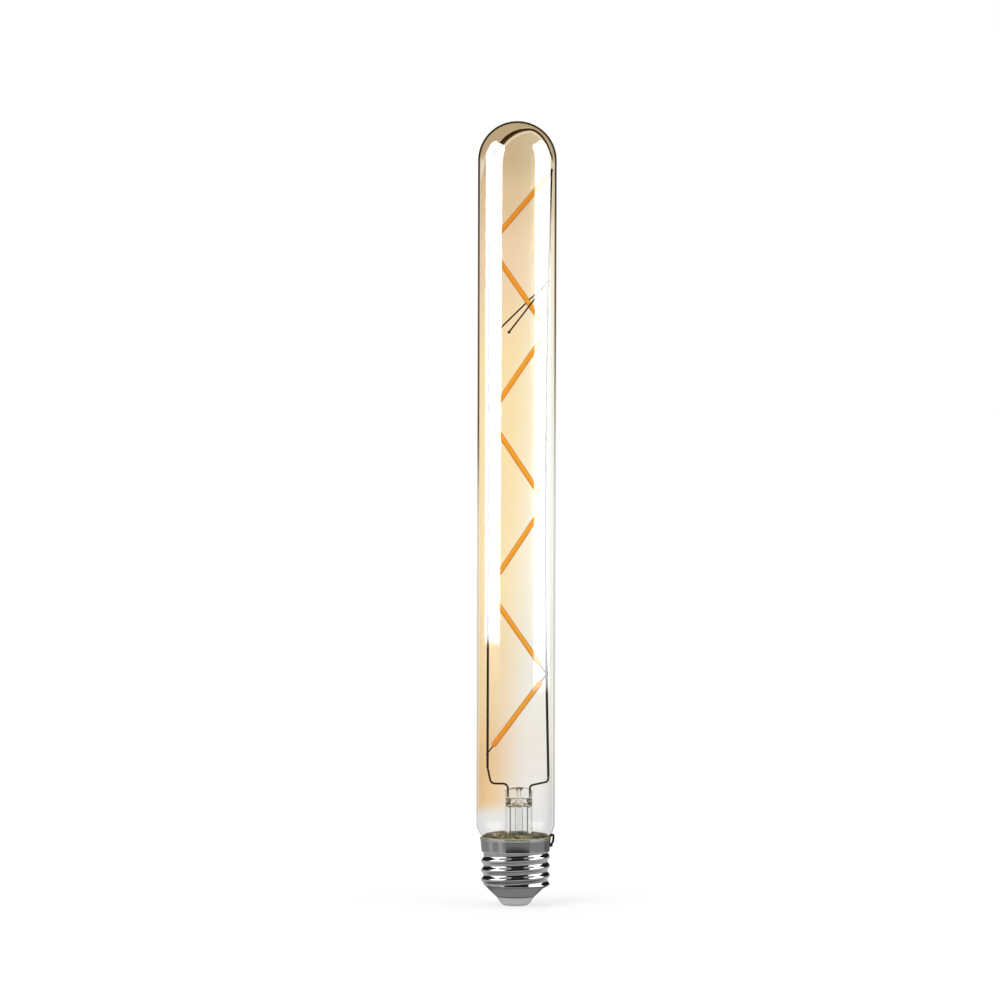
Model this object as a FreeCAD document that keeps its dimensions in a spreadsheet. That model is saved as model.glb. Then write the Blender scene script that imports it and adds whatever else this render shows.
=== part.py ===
import FreeCAD
import Part
import Sketcher
import math
import os
import re

from FreeCAD import Placement, Rotation, Vector

# Tubular filament bulb on a screw cap. +Z runs from the contact to the dome, and the origin is
# the centre of the contact's face. +X is the side where the cap's wire loops over the rim.

document = FreeCAD.newDocument("TubularBulb")
sheet = document.addObject("Spreadsheet::Sheet", "Sizes")

sizes = [
    # glass envelope
    ("overallLength", 300, "contact face to top of dome"),
    ("tubeDiameter", 30, "outside of the tube"),
    ("glassWall", 1, "wall of tube, dome and neck"),
    ("shoulderRadius", 7, "outer bend of the shoulder"),
    ("neckRadius", 1.5, "bend from the shoulder into the neck"),
    ("neckBendDrop", 0.7, "lower end of the neck's bend, below the cap's rim"),
    ("neckDepth", 4, "lower edge of the neck, below the cap's rim"),
    # stem
    ("mountOffset", 1.25, "stem axis to the right of the tube axis"),
    ("flareDiameter", 10.2, "outside of the flare tube"),
    ("flareWall", 1, "wall of the flare tube and its skirt"),
    ("skirtLift", 0.6, "skirt's lower edge above the neck's"),
    ("skirtHeight", 4.6, "skirt, up to the flare tube"),
    ("skirtRadius", 5.5, "bend of the skirt"),
    ("stemHeight", 22.5, "skirt's lower edge to the top of the pinch"),
    ("hollowDrop", 6.1, "top of the pinch down to the flare tube's hollow"),
    ("pressDrop", 6.9, "top of the pinch down to where the tube starts to flatten"),
    ("flatDrop", 4.1, "top of the pinch down to where it is no longer flat"),
    ("crownDrop", 1, "top of the pinch at its edges, below its middle"),
    ("pinchThickness", 4, "front to back"),
    ("exhaustDiameter", 2.9, "outside of the exhaust tube"),
    ("exhaustBore", 1.7, "inside of the exhaust tube"),
    ("exhaustSeat", 1, "depth of the exhaust tube's seat in the pinch"),
    ("exhaustRise", 2.6, "exhaust tube's sealed tip above the driver board"),
    ("orificeDiameter", 3.6, "mouth of the exhaust hole at the top of the pinch"),
    # wires
    ("leadDiameter", 0.6, "inner leads"),
    ("leadInset", 0.9, "lead to the edge of the pinch"),
    ("leadDepth", 3.1, "inner lead's foot, below the top of the pinch"),
    ("sealDiameter", 0.4, "wires sealed in the pinch"),
    ("sealKnot", 1, "weld knot between lead and seal wire"),
    ("sealDepth", 7.5, "seal wire's foot, below the top of the pinch"),
    ("outerDiameter", 0.4, "wires inside the flare tube"),
    ("outerInset", 0.8, "outer lead to the inside of the flare tube"),
    ("railDiameter", 0.8, "rails"),
    ("leftRailInset", 3.2, "left rail to the inside of the tube"),
    ("rightFootInset", 1.5, "right rail's foot to the inside of the tube"),
    ("rightHeadInset", 1, "right rail's head to the inside of the tube"),
    ("rightRailBow", 1.6, "how far the right rail bows towards the axis"),
    ("leftFootRise", 7.5, "left rail's foot above the pinch"),
    ("rightFootRise", 4.5, "right rail's foot above the pinch"),
    ("railProud", 1.1, "rails past their highest welds"),
    ("leftLeadLift", 1.5, "left lead's cross run above the pinch"),
    ("leftLeadBend", 1.9, "bends of the left lead"),
    ("leftLeadSlack", 1.3, "how far the left riser starts inside its rail"),
    ("leftLeadLap", 4.4, "left lead beside its rail"),
    ("rightLeadLift", 0.8, "height above the pinch where the right lead turns outwards"),
    ("rightLeadClimb", 1.5, "rise of the right lead's cross run"),
    ("rightLeadBend", 1.3, "bends of the right lead"),
    ("rightLeadLap", 7, "right lead beside its rail"),
    # filaments, welded to the right and left rails in turn from the top down
    ("topRoom", 19.3, "top weld, right rail, below the top of the dome"),
    ("lowestRise", 13.2, "lowest weld, left rail, above the pinch"),
    ("weldShift2", 3.7, "second weld, left rail, above its even place"),
    ("weldShift3", 3.1, "third weld, right rail"),
    ("weldShift4", 1.6, "fourth weld, left rail"),
    ("weldShift5", 0.5, "fifth weld, right rail"),
    ("weldShift6", -1, "sixth weld, left rail"),
    ("weldShift7", -1.4, "seventh weld, right rail"),
    ("filamentLength", 31, "coated length"),
    ("filamentDiameter", 1.9, "coating"),
    ("filamentRound", 0.6, "rounding of the coating's ends"),
    ("tabWidth", 0.5, "end strips"),
    ("tabThickness", 0.2, "end strips"),
    ("tabDepth", 1.2, "end strip inside the coating"),
    ("tabOvershoot", 0.9, "end strip past the rail's middle"),
    # struts
    ("strutRise", 18.7, "struts' weld bead above the third weld"),
    ("strutDrop", 19.4, "weld bead down to the balled ends"),
    ("strutDiameter", 0.5, "strut wires"),
    ("strutBall", 1, "balled ends"),
    ("frontBearing", -103, "front ball about the tube axis, degrees"),
    ("backBearing", 125, "back ball about the tube axis, degrees"),
    ("beadDiameter", 1.6, "weld bead"),
    # cap
    ("capWall", 0.25, "sheet of the shell"),
    ("lipHeight", 3.65, "lower edge of the shell"),
    ("lipDiameter", 15.4, "outside of the shell at its lower edge"),
    ("lipWidth", 0.7, "lip turned in under the insulator's flange"),
    ("threadFoot", 8, "top of the shell's cone, and the lowest crest on the right"),
    ("threadLength", 12.5, "threaded part, up to the collar"),
    ("threadRoot", 24.5, "thread, root diameter"),
    ("threadDepth", 0.95, "crest above root"),
    ("threadPitch", 3.629, "thread pitch"),
    ("threadWidth", 3.05, "ridge at its root"),
    ("threadStop", 0.9, "ridge's upper end below the collar"),
    ("solidTurns", 1.25, "turns at the ridge's two ends that aren't hollow behind"),
    ("runOut", 1.2, "height in which the ridge's lower end runs out"),
    ("collarHeight", 5.5, "smooth collar above the thread"),
    ("collarFlare", 1.5, "collar's foot wider than the thread's root"),
    ("collarStep", 0.1, "height of the step from the thread to the collar"),
    ("rimFlare", 1.1, "rim wider than the collar's foot"),
    ("rimRound", 0.12, "rounding of the rim's edge"),
    ("insulatorFootDiameter", 11.3, "insulator at its lower face"),
    ("insulatorRise", 1.25, "upper face of the insulator above the shell's lower edge"),
    ("contactInset", 0.35, "edge of the contact inside the insulator's"),
    ("contactThickness", 0.8, "centre contact"),
    ("contactRound", 0.35, "rounding of the contact's edge"),
    ("rivetDiameter", 2.2, "contact's rivet through the insulator"),
    ("rivetHead", 3.4, "spread head of the rivet"),
    ("rivetBore", 0.8, "bore that the fuse wire is pressed in"),
    ("cementRise", 0.8, "lower face of the cement above the collar's foot"),
    ("cementDrop", 1, "upper face of the cement below the rim"),
    ("shellWireDiameter", 0.45, "wire over the rim"),
    ("shellWireInset", 1.6, "wire's hole to the edge of the board"),
    ("shellWireShift", 1.4, "height, each side of the collar's foot, in which the wire moves out"),
    ("loopRise", 1.2, "top of the wire's loop above the rim"),
    ("loopReach", 0.75, "how far the loop stands off the rim and the glass"),
    ("loopDrop", 1.2, "how far the loop hangs below the rim"),
    ("loopBend", 0.5, "bends of the wire's loop"),
    ("weldDrop", 2.9, "weld on the collar, below the rim"),
    ("weldDiameter", 1.6, "weld on the collar"),
    # driver
    ("boardEase", 0.4, "edge of the driver board to the shell"),
    ("boardThickness", 1, "driver board"),
    ("boardRise", 6.1, "lower face of the board above the insulator"),
    ("pinDiameter", 0.5, "component wires"),
    ("pinProud", 0.8, "component wires past the board"),
    ("bridgeLength", 4.7, "bridge rectifier"),
    ("bridgeWidth", 3.9, "bridge rectifier"),
    ("chipLength", 4.9, "driver chip"),
    ("chipWidth", 3.8, "driver chip"),
    ("packageHeight", 1.5, "rectifier and chip"),
    ("packageChamfer", 0.3, "rectifier and chip, upper edges"),
    ("packageSpread", 5.2, "rectifier and chip to the axis"),
    ("capacitorDiameter", 5, "filter capacitor"),
    ("capacitorHeight", 5.2, "filter capacitor"),
    ("capacitorPlace", 5.1, "filter capacitor to the axis"),
    ("capacitorPins", 2, "capacitor wire spacing"),
    ("capacitorEdge", 0.3, "rounding and groove of the capacitor's can"),
    ("fuseDiameter", 2.4, "fuse resistor"),
    ("fuseLength", 4.6, "fuse resistor body"),
    ("fuseDrop", 0.8, "fuse resistor's body below the board"),
    ("fuseRound", 0.3, "rounding of the fuse resistor's ends"),
    ("fit", 0.03, "clearance between pieces that touch"),
]

# Sizes that several pieces share, worked out from those in the sheet.
worked = {
    "tubeRadius": "tubeDiameter / 2",
    "insideTube": "tubeRadius - glassWall",
    "domeCentre": "overallLength - tubeRadius",
    # cap, from its lower edge up
    "rootRadius": "threadRoot / 2",
    "crestRadius": "rootRadius + threadDepth",
    "lipOpening": "lipDiameter - 2 * lipWidth",
    "collarFoot": "threadFoot + threadLength",
    "collarFootDiameter": "threadRoot + collarFlare",
    "rimHeight": "collarFoot + collarHeight",
    "rimDiameter": "collarFootDiameter + rimFlare",
    "threadTurns": "(threadLength - threadStop + threadPitch / 2) / threadPitch",
    "insulatorFoot": "contactThickness + fit",
    "insulatorTop": "lipHeight + insulatorRise",
    "contactDiameter": "insulatorFootDiameter - 2 * contactInset",
    "cementGap": "shellWireDiameter + 2 * fit",
    "cementFoot": "collarFoot + cementRise",
    "cementTop": "rimHeight - cementDrop",
    "weldHeight": "rimHeight - weldDrop",
    "loopHeight": "rimHeight + loopRise",
    # driver
    "boardDiameter": "threadRoot - 2 * (capWall + boardEase)",
    "boardFoot": "insulatorTop + boardRise",
    "boardTop": "boardFoot + boardThickness",
    "shellWirePlace": "boardDiameter / 2 - shellWireInset",
    "fuseTop": "boardFoot - fuseDrop",
    "fuseFoot": "fuseTop - fuseLength",
    # neck and shoulder: the shoulder turns out and back through one angle
    "neck": "collarFootDiameter / 2 - capWall - cementGap",
    "neckFoot": "rimHeight - neckDepth",
    "neckTop": "rimHeight - neckBendDrop",
    "shoulderLean": "(tubeRadius - neck) / (shoulderRadius + neckRadius)",
    "shoulderSlope": "sqrt(2 * shoulderLean - shoulderLean^2)",
    "shoulderTop": "neckTop + (shoulderRadius + neckRadius) * shoulderSlope",
    # stem, from the skirt's lower edge up
    "flareRadius": "flareDiameter / 2",
    "skirtRim": "neck - glassWall - fit",
    "skirtFoot": "neckFoot + skirtLift",
    "skirtTop": "skirtFoot + skirtHeight",
    "pinchTop": "skirtFoot + stemHeight",
    "flareCeiling": "pinchTop - hollowDrop",
    "exhaustTip": "boardTop + exhaustRise",
    # wires
    "leadSpread": "flareRadius - leadInset",
    "leadFoot": "pinchTop - leadDepth",
    "sealFoot": "pinchTop - sealDepth",
    "outerSpread": "flareRadius - flareWall - outerInset",
    "riserPlane": "railDiameter / 2 + leadDiameter / 2 + fit",
    "filamentPlane": "railDiameter / 2 + tabThickness / 2 + fit",
    "leftRailPlace": "insideTube - leftRailInset",
    "leftRailFoot": "pinchTop + leftFootRise",
    "leftRailHead": "weld2 + railProud",
    "rightRailFootPlace": "insideTube - rightFootInset",
    "rightRailHeadPlace": "insideTube - rightHeadInset",
    "rightRailFoot": "pinchTop + rightFootRise",
    "rightRailHead": "weld1 + railProud",
    "leftLeadRise": "pinchTop + leftLeadLift",
    "rightLeadRise": "pinchTop + rightLeadLift",
    # welds of the filaments
    "weld1": "overallLength - topRoom",
    "weld8": "pinchTop + lowestRise",
    "strutHeight": "weld3 + strutRise",
    "strutEnd": "strutHeight - strutDrop",
}
for number in range(2, 8):
    evenPlace = f"weld1 - (weld1 - weld8) * {number - 1} / 7"
    worked[f"weld{number}"] = f"{evenPlace} + weldShift{number}"

for row, (alias, amount, note) in enumerate(sizes, start=1):
    sheet.set(f"A{row}", note)
    sheet.set(f"B{row}", str(amount))
    sheet.setAlias(f"B{row}", alias)
document.recompute()
names = {alias for alias, amount, note in sizes}


def on(expression):
    """The expression with worked-out sizes written out and the others pointed at the sheet."""
    def written(word):
        if word[0] in worked:
            return f"({on(worked[word[0]])})"
        return f"Sizes.{word[0]}" if word[0] in names else word[0]

    return re.sub(r"[A-Za-z]\w*", written, str(expression))


def worth(expression):
    """What an expression comes to now."""
    return float(sheet.evalExpression(on(expression)))


def bind(thing, target, expression):
    thing.setExpression(target, on(expression))


# Sketches

def newSketch(body, name, plane="XZ_Plane"):
    sketch = body.newObject("Sketcher::SketchObject", name)
    home = next(item for item in body.Origin.OriginFeatures if item.Role == plane)
    sketch.AttachmentSupport = (home, [""])
    sketch.MapMode = "FlatFace"
    return sketch


def pinPoint(sketch, geometry, end, across, up):
    """Hold a point at a place given by two expressions."""
    for direction, axis, expression in (("DistanceX", -2, across), ("DistanceY", -1, up)):
        if expression == "0":
            sketch.addConstraint(Sketcher.Constraint("PointOnObject", geometry, end, axis))
            continue
        index = sketch.addConstraint(
            Sketcher.Constraint(direction, -1, 1, geometry, end, worth(expression)))
        bind(sketch, f"Constraints[{index}]", expression)


def arcBetween(first, last, radius, turn):
    """Arc from first to last, and the numbers of its end points; turn is 1 for a left turn."""
    chord = last.sub(first)
    side = Vector(-chord.y, chord.x, 0).normalize() * turn
    rise = math.sqrt(max(0, radius ** 2 - (chord.Length / 2) ** 2))
    centre = first + chord * 0.5 + side * rise
    ends = (first, last) if turn > 0 else (last, first)
    angles = [math.atan2(point.y - centre.y, point.x - centre.x) for point in ends]
    if angles[1] < angles[0]:
        angles[1] += 2 * math.pi
    arc = Part.ArcOfCircle(Part.Circle(centre, Vector(0, 0, 1), radius), *angles)
    return arc, (1, 2) if turn > 0 else (2, 1)


def outline(sketch, corners):
    """Closed outline. A corner is (across, up), with (radius, turn) where an arc leads on from it."""
    points = [Vector(worth(corner[0]), worth(corner[1]), 0) for corner in corners]
    sides = []
    for number, corner in enumerate(corners):
        first, last = points[number], points[(number + 1) % len(points)]
        if len(corner) == 2:
            sides.append((sketch.addGeometry(Part.LineSegment(first, last), False), 1, 2))
            continue
        arc, (start, end) = arcBetween(first, last, worth(corner[2]), corner[3])
        sides.append((sketch.addGeometry(arc, False), start, end))
    for number, corner in enumerate(corners):
        side, start, end = sides[number]
        before = sides[number - 1]
        sketch.addConstraint(Sketcher.Constraint("Coincident", before[0], before[2], side, start))
        pinPoint(sketch, side, start, corner[0], corner[1])
        if len(corner) > 2:
            index = sketch.addConstraint(Sketcher.Constraint("Radius", side, worth(corner[2])))
            bind(sketch, f"Constraints[{index}]", corner[2])


def circles(sketch, rings):
    """Circles, each (across, up, diameter)."""
    for across, up, diameter in rings:
        centre = Vector(worth(across), worth(up), 0)
        ring = sketch.addGeometry(Part.Circle(centre, Vector(0, 0, 1), worth(diameter) / 2), False)
        pinPoint(sketch, ring, 3, across, up)
        index = sketch.addConstraint(Sketcher.Constraint("Diameter", ring, worth(diameter)))
        bind(sketch, f"Constraints[{index}]", diameter)


def route(sketch, corners, bend):
    """Open path through corners, rounded by arcs of one radius."""
    points = [Vector(worth(across), worth(up), 0) for across, up in corners]
    radius = worth(bend)
    starts, ends, arcs = [points[0]], [], []
    for before, corner, after in zip(points, points[1:], points[2:]):
        back = (before - corner).normalize()
        ahead = (after - corner).normalize()
        half = back.getAngle(ahead) / 2
        setback = radius / math.tan(half)
        ends.append(corner + back * setback)
        starts.append(corner + ahead * setback)
        turn = 1 if (corner - before).cross(after - corner).z > 0 else -1
        arcs.append(arcBetween(ends[-1], starts[-1], radius, turn))
    ends.append(points[-1])
    runs = [sketch.addGeometry(Part.LineSegment(*pair), False) for pair in zip(starts, ends)]
    for number, (arc, (start, end)) in enumerate(arcs):
        curve = sketch.addGeometry(arc, False)
        sketch.addConstraint(Sketcher.Constraint("Tangent", runs[number], 2, curve, start))
        sketch.addConstraint(Sketcher.Constraint("Tangent", curve, end, runs[number + 1], 1))
        index = sketch.addConstraint(Sketcher.Constraint("Radius", curve, radius))
        bind(sketch, f"Constraints[{index}]", bend)
        corner = sketch.addGeometry(Part.Point(points[number + 1]), True)
        sketch.addConstraint(Sketcher.Constraint("PointOnObject", corner, 1, runs[number]))
        sketch.addConstraint(Sketcher.Constraint("PointOnObject", corner, 1, runs[number + 1]))
        pinPoint(sketch, corner, 1, *corners[number + 1])
    pinPoint(sketch, runs[0], 1, *corners[0])
    pinPoint(sketch, runs[-1], 2, *corners[-1])


# Features

def newBody(label):
    body = document.addObject("PartDesign::Body", label)
    body.Label = label
    return body


def turned(body, name, corners, cut=False, shift=None):
    """Turn an outline about the upright axis, or about one that is shifted along X."""
    sketch = newSketch(body, f"{name}Outline")
    if shift:
        bind(sketch, "AttachmentOffset.Base.x", shift)
    outline(sketch, corners)
    feature = body.newObject("PartDesign::Groove" if cut else "PartDesign::Revolution", name)
    feature.Profile = sketch
    feature.ReferenceAxis = (sketch, ["V_Axis"])
    feature.Angle = 360
    return feature


def raised(body, name, draw, height, foot="0", cut=False, plane="XY_Plane"):
    """Pad, or pocket, of what draw puts in a sketch at the height of foot."""
    sketch = newSketch(body, f"{name}Outline", plane)
    bind(sketch, "AttachmentOffset.Base.z", foot)
    draw(sketch)
    feature = body.newObject("PartDesign::Pocket" if cut else "PartDesign::Pad", name)
    feature.Profile = sketch
    feature.Reversed = cut
    bind(feature, "Length", height)
    return feature


def rod(label, diameter, foot, height, across="0"):
    """Plain upright wire or pin."""
    wire = document.addObject("Part::Cylinder", label)
    wire.Label = label
    bind(wire, "Radius", f"{diameter} / 2")
    bind(wire, "Height", height)
    bind(wire, "Placement.Base.x", across)
    bind(wire, "Placement.Base.z", foot)
    return wire


def ball(label, diameter, place):
    sphere = document.addObject("Part::Sphere", label)
    sphere.Label = label
    bind(sphere, "Radius", f"{diameter} / 2")
    sphere.Placement.Base = place
    return sphere


def swept(body, name, corners, bend, diameter):
    """Round wire along a path in the body's XZ plane."""
    path = newSketch(body, f"{name}Path")
    route(path, corners, bend)
    section = body.newObject("Sketcher::SketchObject", f"{name}Section")
    section.AttachmentSupport = (path, ["Edge1"])
    section.MapMode = "NormalToEdge"
    section.MapPathParameter = 0
    circles(section, [("0", "0", diameter)])
    pipe = body.newObject("PartDesign::AdditivePipe", name)
    pipe.Profile = section
    pipe.Spine = path
    return pipe


def bentWire(label, corners, bend, diameter):
    body = newBody(label)
    swept(body, f"{label}Run", corners, bend, diameter)
    return body


def cutFrom(label, base, tools):
    """The base less its tools, under the name of the finished piece."""
    cutter = tools[0]
    if len(tools) > 1:
        cutter = document.addObject("Part::MultiFuse", f"{label}Cutter")
        cutter.Shapes = tools
    piece = document.addObject("Part::Cut", label)
    piece.Label = label
    piece.Base = base
    piece.Tool = cutter
    return piece


def aimed(start, end):
    """Placement that takes +Z from start towards end."""
    return Placement(start, Rotation(Vector(0, 0, 1), end - start))


# Glass envelope: dome, straight tube and a shoulder of two bends into the neck.

def shoulderMiddle(radius, bend):
    """Where the shoulder's outward bend meets the neck's, for one skin of the glass."""
    return f"{radius} - {bend} * shoulderLean", f"shoulderTop - {bend} * shoulderSlope"


def glassEnvelope():
    body = newBody("glass_envelope")
    outer, inner = "shoulderRadius", "(shoulderRadius - glassWall)"
    turned(body, "Blown", [
        ("neck - glassWall", "neckFoot"),
        ("neck", "neckFoot"),
        ("neck", "neckTop", "neckRadius", -1),
        (*shoulderMiddle("tubeRadius", outer), outer, 1),
        ("tubeRadius", "shoulderTop"),
        ("tubeRadius", "domeCentre", "tubeRadius", 1),
        ("0", "overallLength"),
        ("0", "overallLength - glassWall", "insideTube", -1),
        ("insideTube", "domeCentre"),
        ("insideTube", "shoulderTop", inner, -1),
        (*shoulderMiddle("insideTube", inner), "neckRadius + glassWall", 1),
        ("neck - glassWall", "neckTop"),
    ])
    return body


# Stem: a flare tube beside the tube's axis, pressed flat at its top round the seal wires,
# and a skirt about the tube's axis that reaches the neck.

def sealWire(label, side, grow):
    """Slanted seal wire with its weld knot, swollen by grow on every side."""
    top = Vector(worth(f"mountOffset + {side} * leadSpread"), 0, worth("leadFoot"))
    foot = Vector(worth(f"mountOffset + {side} * outerSpread"), 0, worth("sealFoot"))
    wire = document.addObject("Part::Cylinder", f"{label}_wire")
    bind(wire, "Radius", f"sealDiameter / 2 + {grow}")
    wire.Height = (top - foot).Length
    wire.Placement = aimed(foot, top)
    knot = ball(f"{label}_knot", f"(sealKnot + 2 * {grow})", top)
    piece = document.addObject("Part::Fuse", label)
    piece.Label = label
    piece.Base = wire
    piece.Tool = knot
    return piece


def stem():
    body = newBody("stem_blank")
    turned(body, "Skirt", [
        ("0", "skirtFoot"),
        ("skirtRim", "skirtFoot"),
        ("skirtRim", "skirtFoot + flareWall", "skirtRadius", -1),
        ("flareRadius + mountOffset", "skirtTop"),
        ("0", "skirtTop"),
    ])
    raised(body, "Tube", lambda sketch: circles(sketch, [("mountOffset", "0", "flareDiameter")]),
           "pinchTop - skirtFoot - flareWall", "skirtFoot + flareWall")
    hollow = "(flareRadius - flareWall)"
    turned(body, "SkirtHollow", [
        ("0", "skirtFoot"),
        ("skirtRim - flareWall", "skirtFoot", "skirtRadius + flareWall", -1),
        (f"{hollow} + mountOffset", "skirtTop - flareWall"),
        ("0", "skirtTop - flareWall"),
    ], cut=True)
    # The bore ends in a shallow dome, a third as high as the bore's radius.
    turned(body, "Bore", [
        ("0", "skirtFoot"),
        (hollow, "skirtFoot"),
        (hollow, f"flareCeiling - {hollow} / 3", f"{hollow} * 5 / 3", 1),
        ("0", "flareCeiling"),
    ], cut=True, shift="mountOffset")
    turned(body, "Orifice", [
        ("0", "flareCeiling - exhaustSeat"),
        ("exhaustDiameter / 2 + fit", "flareCeiling - exhaustSeat"),
        ("exhaustDiameter / 2 + fit", "flareCeiling + exhaustSeat"),
        ("exhaustBore / 2", "flareCeiling + exhaustSeat"),
        ("exhaustBore / 2", "pinchTop - exhaustBore", "orificeDiameter", -1),
        ("orificeDiameter / 2", "pinchTop"),
        ("0", "pinchTop"),
    ], cut=True, shift="mountOffset")
    for side, name in ((1, "Back"), (-1, "Front")):
        flat = f"{side} * pinchThickness / 2"
        outside = f"{side} * (flareRadius + flareWall)"
        corners = [
            (f"{side} * flareRadius", "pinchTop - pressDrop"),
            (outside, "pinchTop - pressDrop"),
            (outside, "pinchTop + flareWall"),
            (flat, "pinchTop + flareWall"),
            (flat, "pinchTop - flatDrop"),
        ]
        press = raised(body, f"Press{name}", lambda sketch: outline(sketch, corners),
                       "2 * flareDiameter", cut=True, plane="YZ_Plane")
        press.Midplane = True
    for side, name in ((1, "Right"), (-1, "Left")):
        corners = [
            (f"mountOffset + {side} * orificeDiameter / 2", "pinchTop"),
            (f"mountOffset + {side} * flareRadius", "pinchTop - crownDrop"),
            (f"mountOffset + {side} * (flareRadius + flareWall)", "pinchTop - crownDrop"),
            (f"mountOffset + {side} * (flareRadius + flareWall)", "pinchTop"),
        ]
        crown = raised(body, f"Crown{name}", lambda sketch: outline(sketch, corners),
                       "2 * pinchThickness", cut=True, plane="XZ_Plane")
        crown.Midplane = True
    tools = []
    for side, name in ((1, "right"), (-1, "left")):
        tools.append(sealWire(f"seal_hole_{name}", side, "fit"))
        tools.append(rod(f"lead_hole_{name}", "(leadDiameter + 2 * fit)", "leadFoot",
                         "pinchTop - leadFoot", f"mountOffset + {side} * leadSpread"))
    return cutFrom("stem", body, tools)


def exhaustTube():
    body = newBody("exhaust_tube")
    outer, inner = "(exhaustDiameter / 2)", "(exhaustBore / 2)"
    top = "flareCeiling + exhaustSeat - fit"
    turned(body, "Drawn", [
        ("0", "exhaustTip", outer, 1),
        (outer, f"exhaustTip + {outer}"),
        (outer, top),
        (inner, top),
        (inner, f"exhaustTip + {outer}", inner, -1),
        ("0", f"exhaustTip + {outer} - {inner}"),
    ])
    bind(body, "Placement.Base.x", "mountOffset")
    return body


# Leads, rails and the wires below the pinch. Each riser stands behind its rail, so a lead's
# plane is turned a little about its own foot.

def bowRadius():
    """Radius of the right rail's arc from its chord and its bow."""
    chord = math.hypot(worth("rightRailHead - rightRailFoot"),
                       worth("rightRailHeadPlace - rightRailFootPlace"))
    bow = worth("rightRailBow")
    return ((chord / 2) ** 2 + bow ** 2) / (2 * bow)


def rightRailAt(height):
    """Distance of the right rail from the tube's axis at a height."""
    foot = Vector(worth("rightRailFootPlace"), worth("rightRailFoot"), 0)
    head = Vector(worth("rightRailHeadPlace"), worth("rightRailHead"), 0)
    chord = head - foot
    radius = bowRadius()
    outward = Vector(chord.y, -chord.x, 0).normalize()
    centre = foot + chord * 0.5 + outward * (radius - worth("rightRailBow"))
    return centre.x - math.sqrt(radius ** 2 - (height - centre.y) ** 2)


def turnLead(body, side, reach):
    """Stand a lead on its foot, turned so that its riser clears the back of the rail."""
    lean = f"asin(riserPlane / ({reach}))"
    bind(body, "Placement.Base.x", f"mountOffset + {side} * leadSpread")
    body.Placement.Rotation = Rotation(Vector(0, 0, 1), 0)
    bind(body, "Placement.Rotation.Angle", lean if side > 0 else f"180 deg - {lean}")


def leads():
    leftReach = "(leftRailPlace + mountOffset - leadSpread)"
    left = bentWire("lead_left", [
        ("0", "leadFoot + sealKnot / 2 + fit"),
        ("0", "leftLeadRise"),
        (f"{leftReach} - leftLeadSlack", "leftLeadRise"),
        (leftReach, "leftRailFoot"),
        (leftReach, "leftRailFoot + leftLeadLap"),
    ], "leftLeadBend", "leadDiameter")
    turnLead(left, -1, leftReach)
    rightReach = "(rightRailFootPlace - mountOffset - leadSpread)"
    right = bentWire("lead_right", [
        ("0", "leadFoot + sealKnot / 2 + fit"),
        ("0", "rightLeadRise"),
        (rightReach, "rightLeadRise + rightLeadClimb"),
        (rightReach, "rightRailFoot + rightLeadLap"),
    ], "rightLeadBend", "leadDiameter")
    turnLead(right, 1, rightReach)
    return [left, right]


def rails():
    left = rod("rail_left", "railDiameter", "leftRailFoot", "leftRailHead - leftRailFoot",
               "-(leftRailPlace)")
    right = newBody("rail_right")
    path = newSketch(right, "RailPath")
    foot = Vector(worth("rightRailFootPlace"), worth("rightRailFoot"), 0)
    head = Vector(worth("rightRailHeadPlace"), worth("rightRailHead"), 0)
    arc, (start, end) = arcBetween(head, foot, bowRadius(), 1)
    bow = path.addGeometry(arc, False)
    pinPoint(path, bow, start, "rightRailHeadPlace", "rightRailHead")
    pinPoint(path, bow, end, "rightRailFootPlace", "rightRailFoot")
    path.addConstraint(Sketcher.Constraint("Radius", bow, bowRadius()))
    section = right.newObject("Sketcher::SketchObject", "RailSection")
    section.AttachmentSupport = (path, ["Edge1"])
    section.MapMode = "NormalToEdge"
    section.MapPathParameter = 0
    circles(section, [("0", "0", "railDiameter")])
    pipe = right.newObject("PartDesign::AdditivePipe", "RailRun")
    pipe.Profile = section
    pipe.Spine = path
    return [left, right]


def outerLeads():
    wires = []
    for side, name in ((1, "right"), (-1, "left")):
        wires.append(rod(f"outer_lead_{name}", "outerDiameter", "boardFoot - pinProud",
                         "sealFoot - 3 * fit - boardFoot + pinProud",
                         f"mountOffset + {side} * outerSpread"))
    return wires


# Filaments: odd ones run in front of the rails and even ones behind, so that two end strips
# can cross on one rail. Each is turned about its length, with a bore at each end for its strip.

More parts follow.
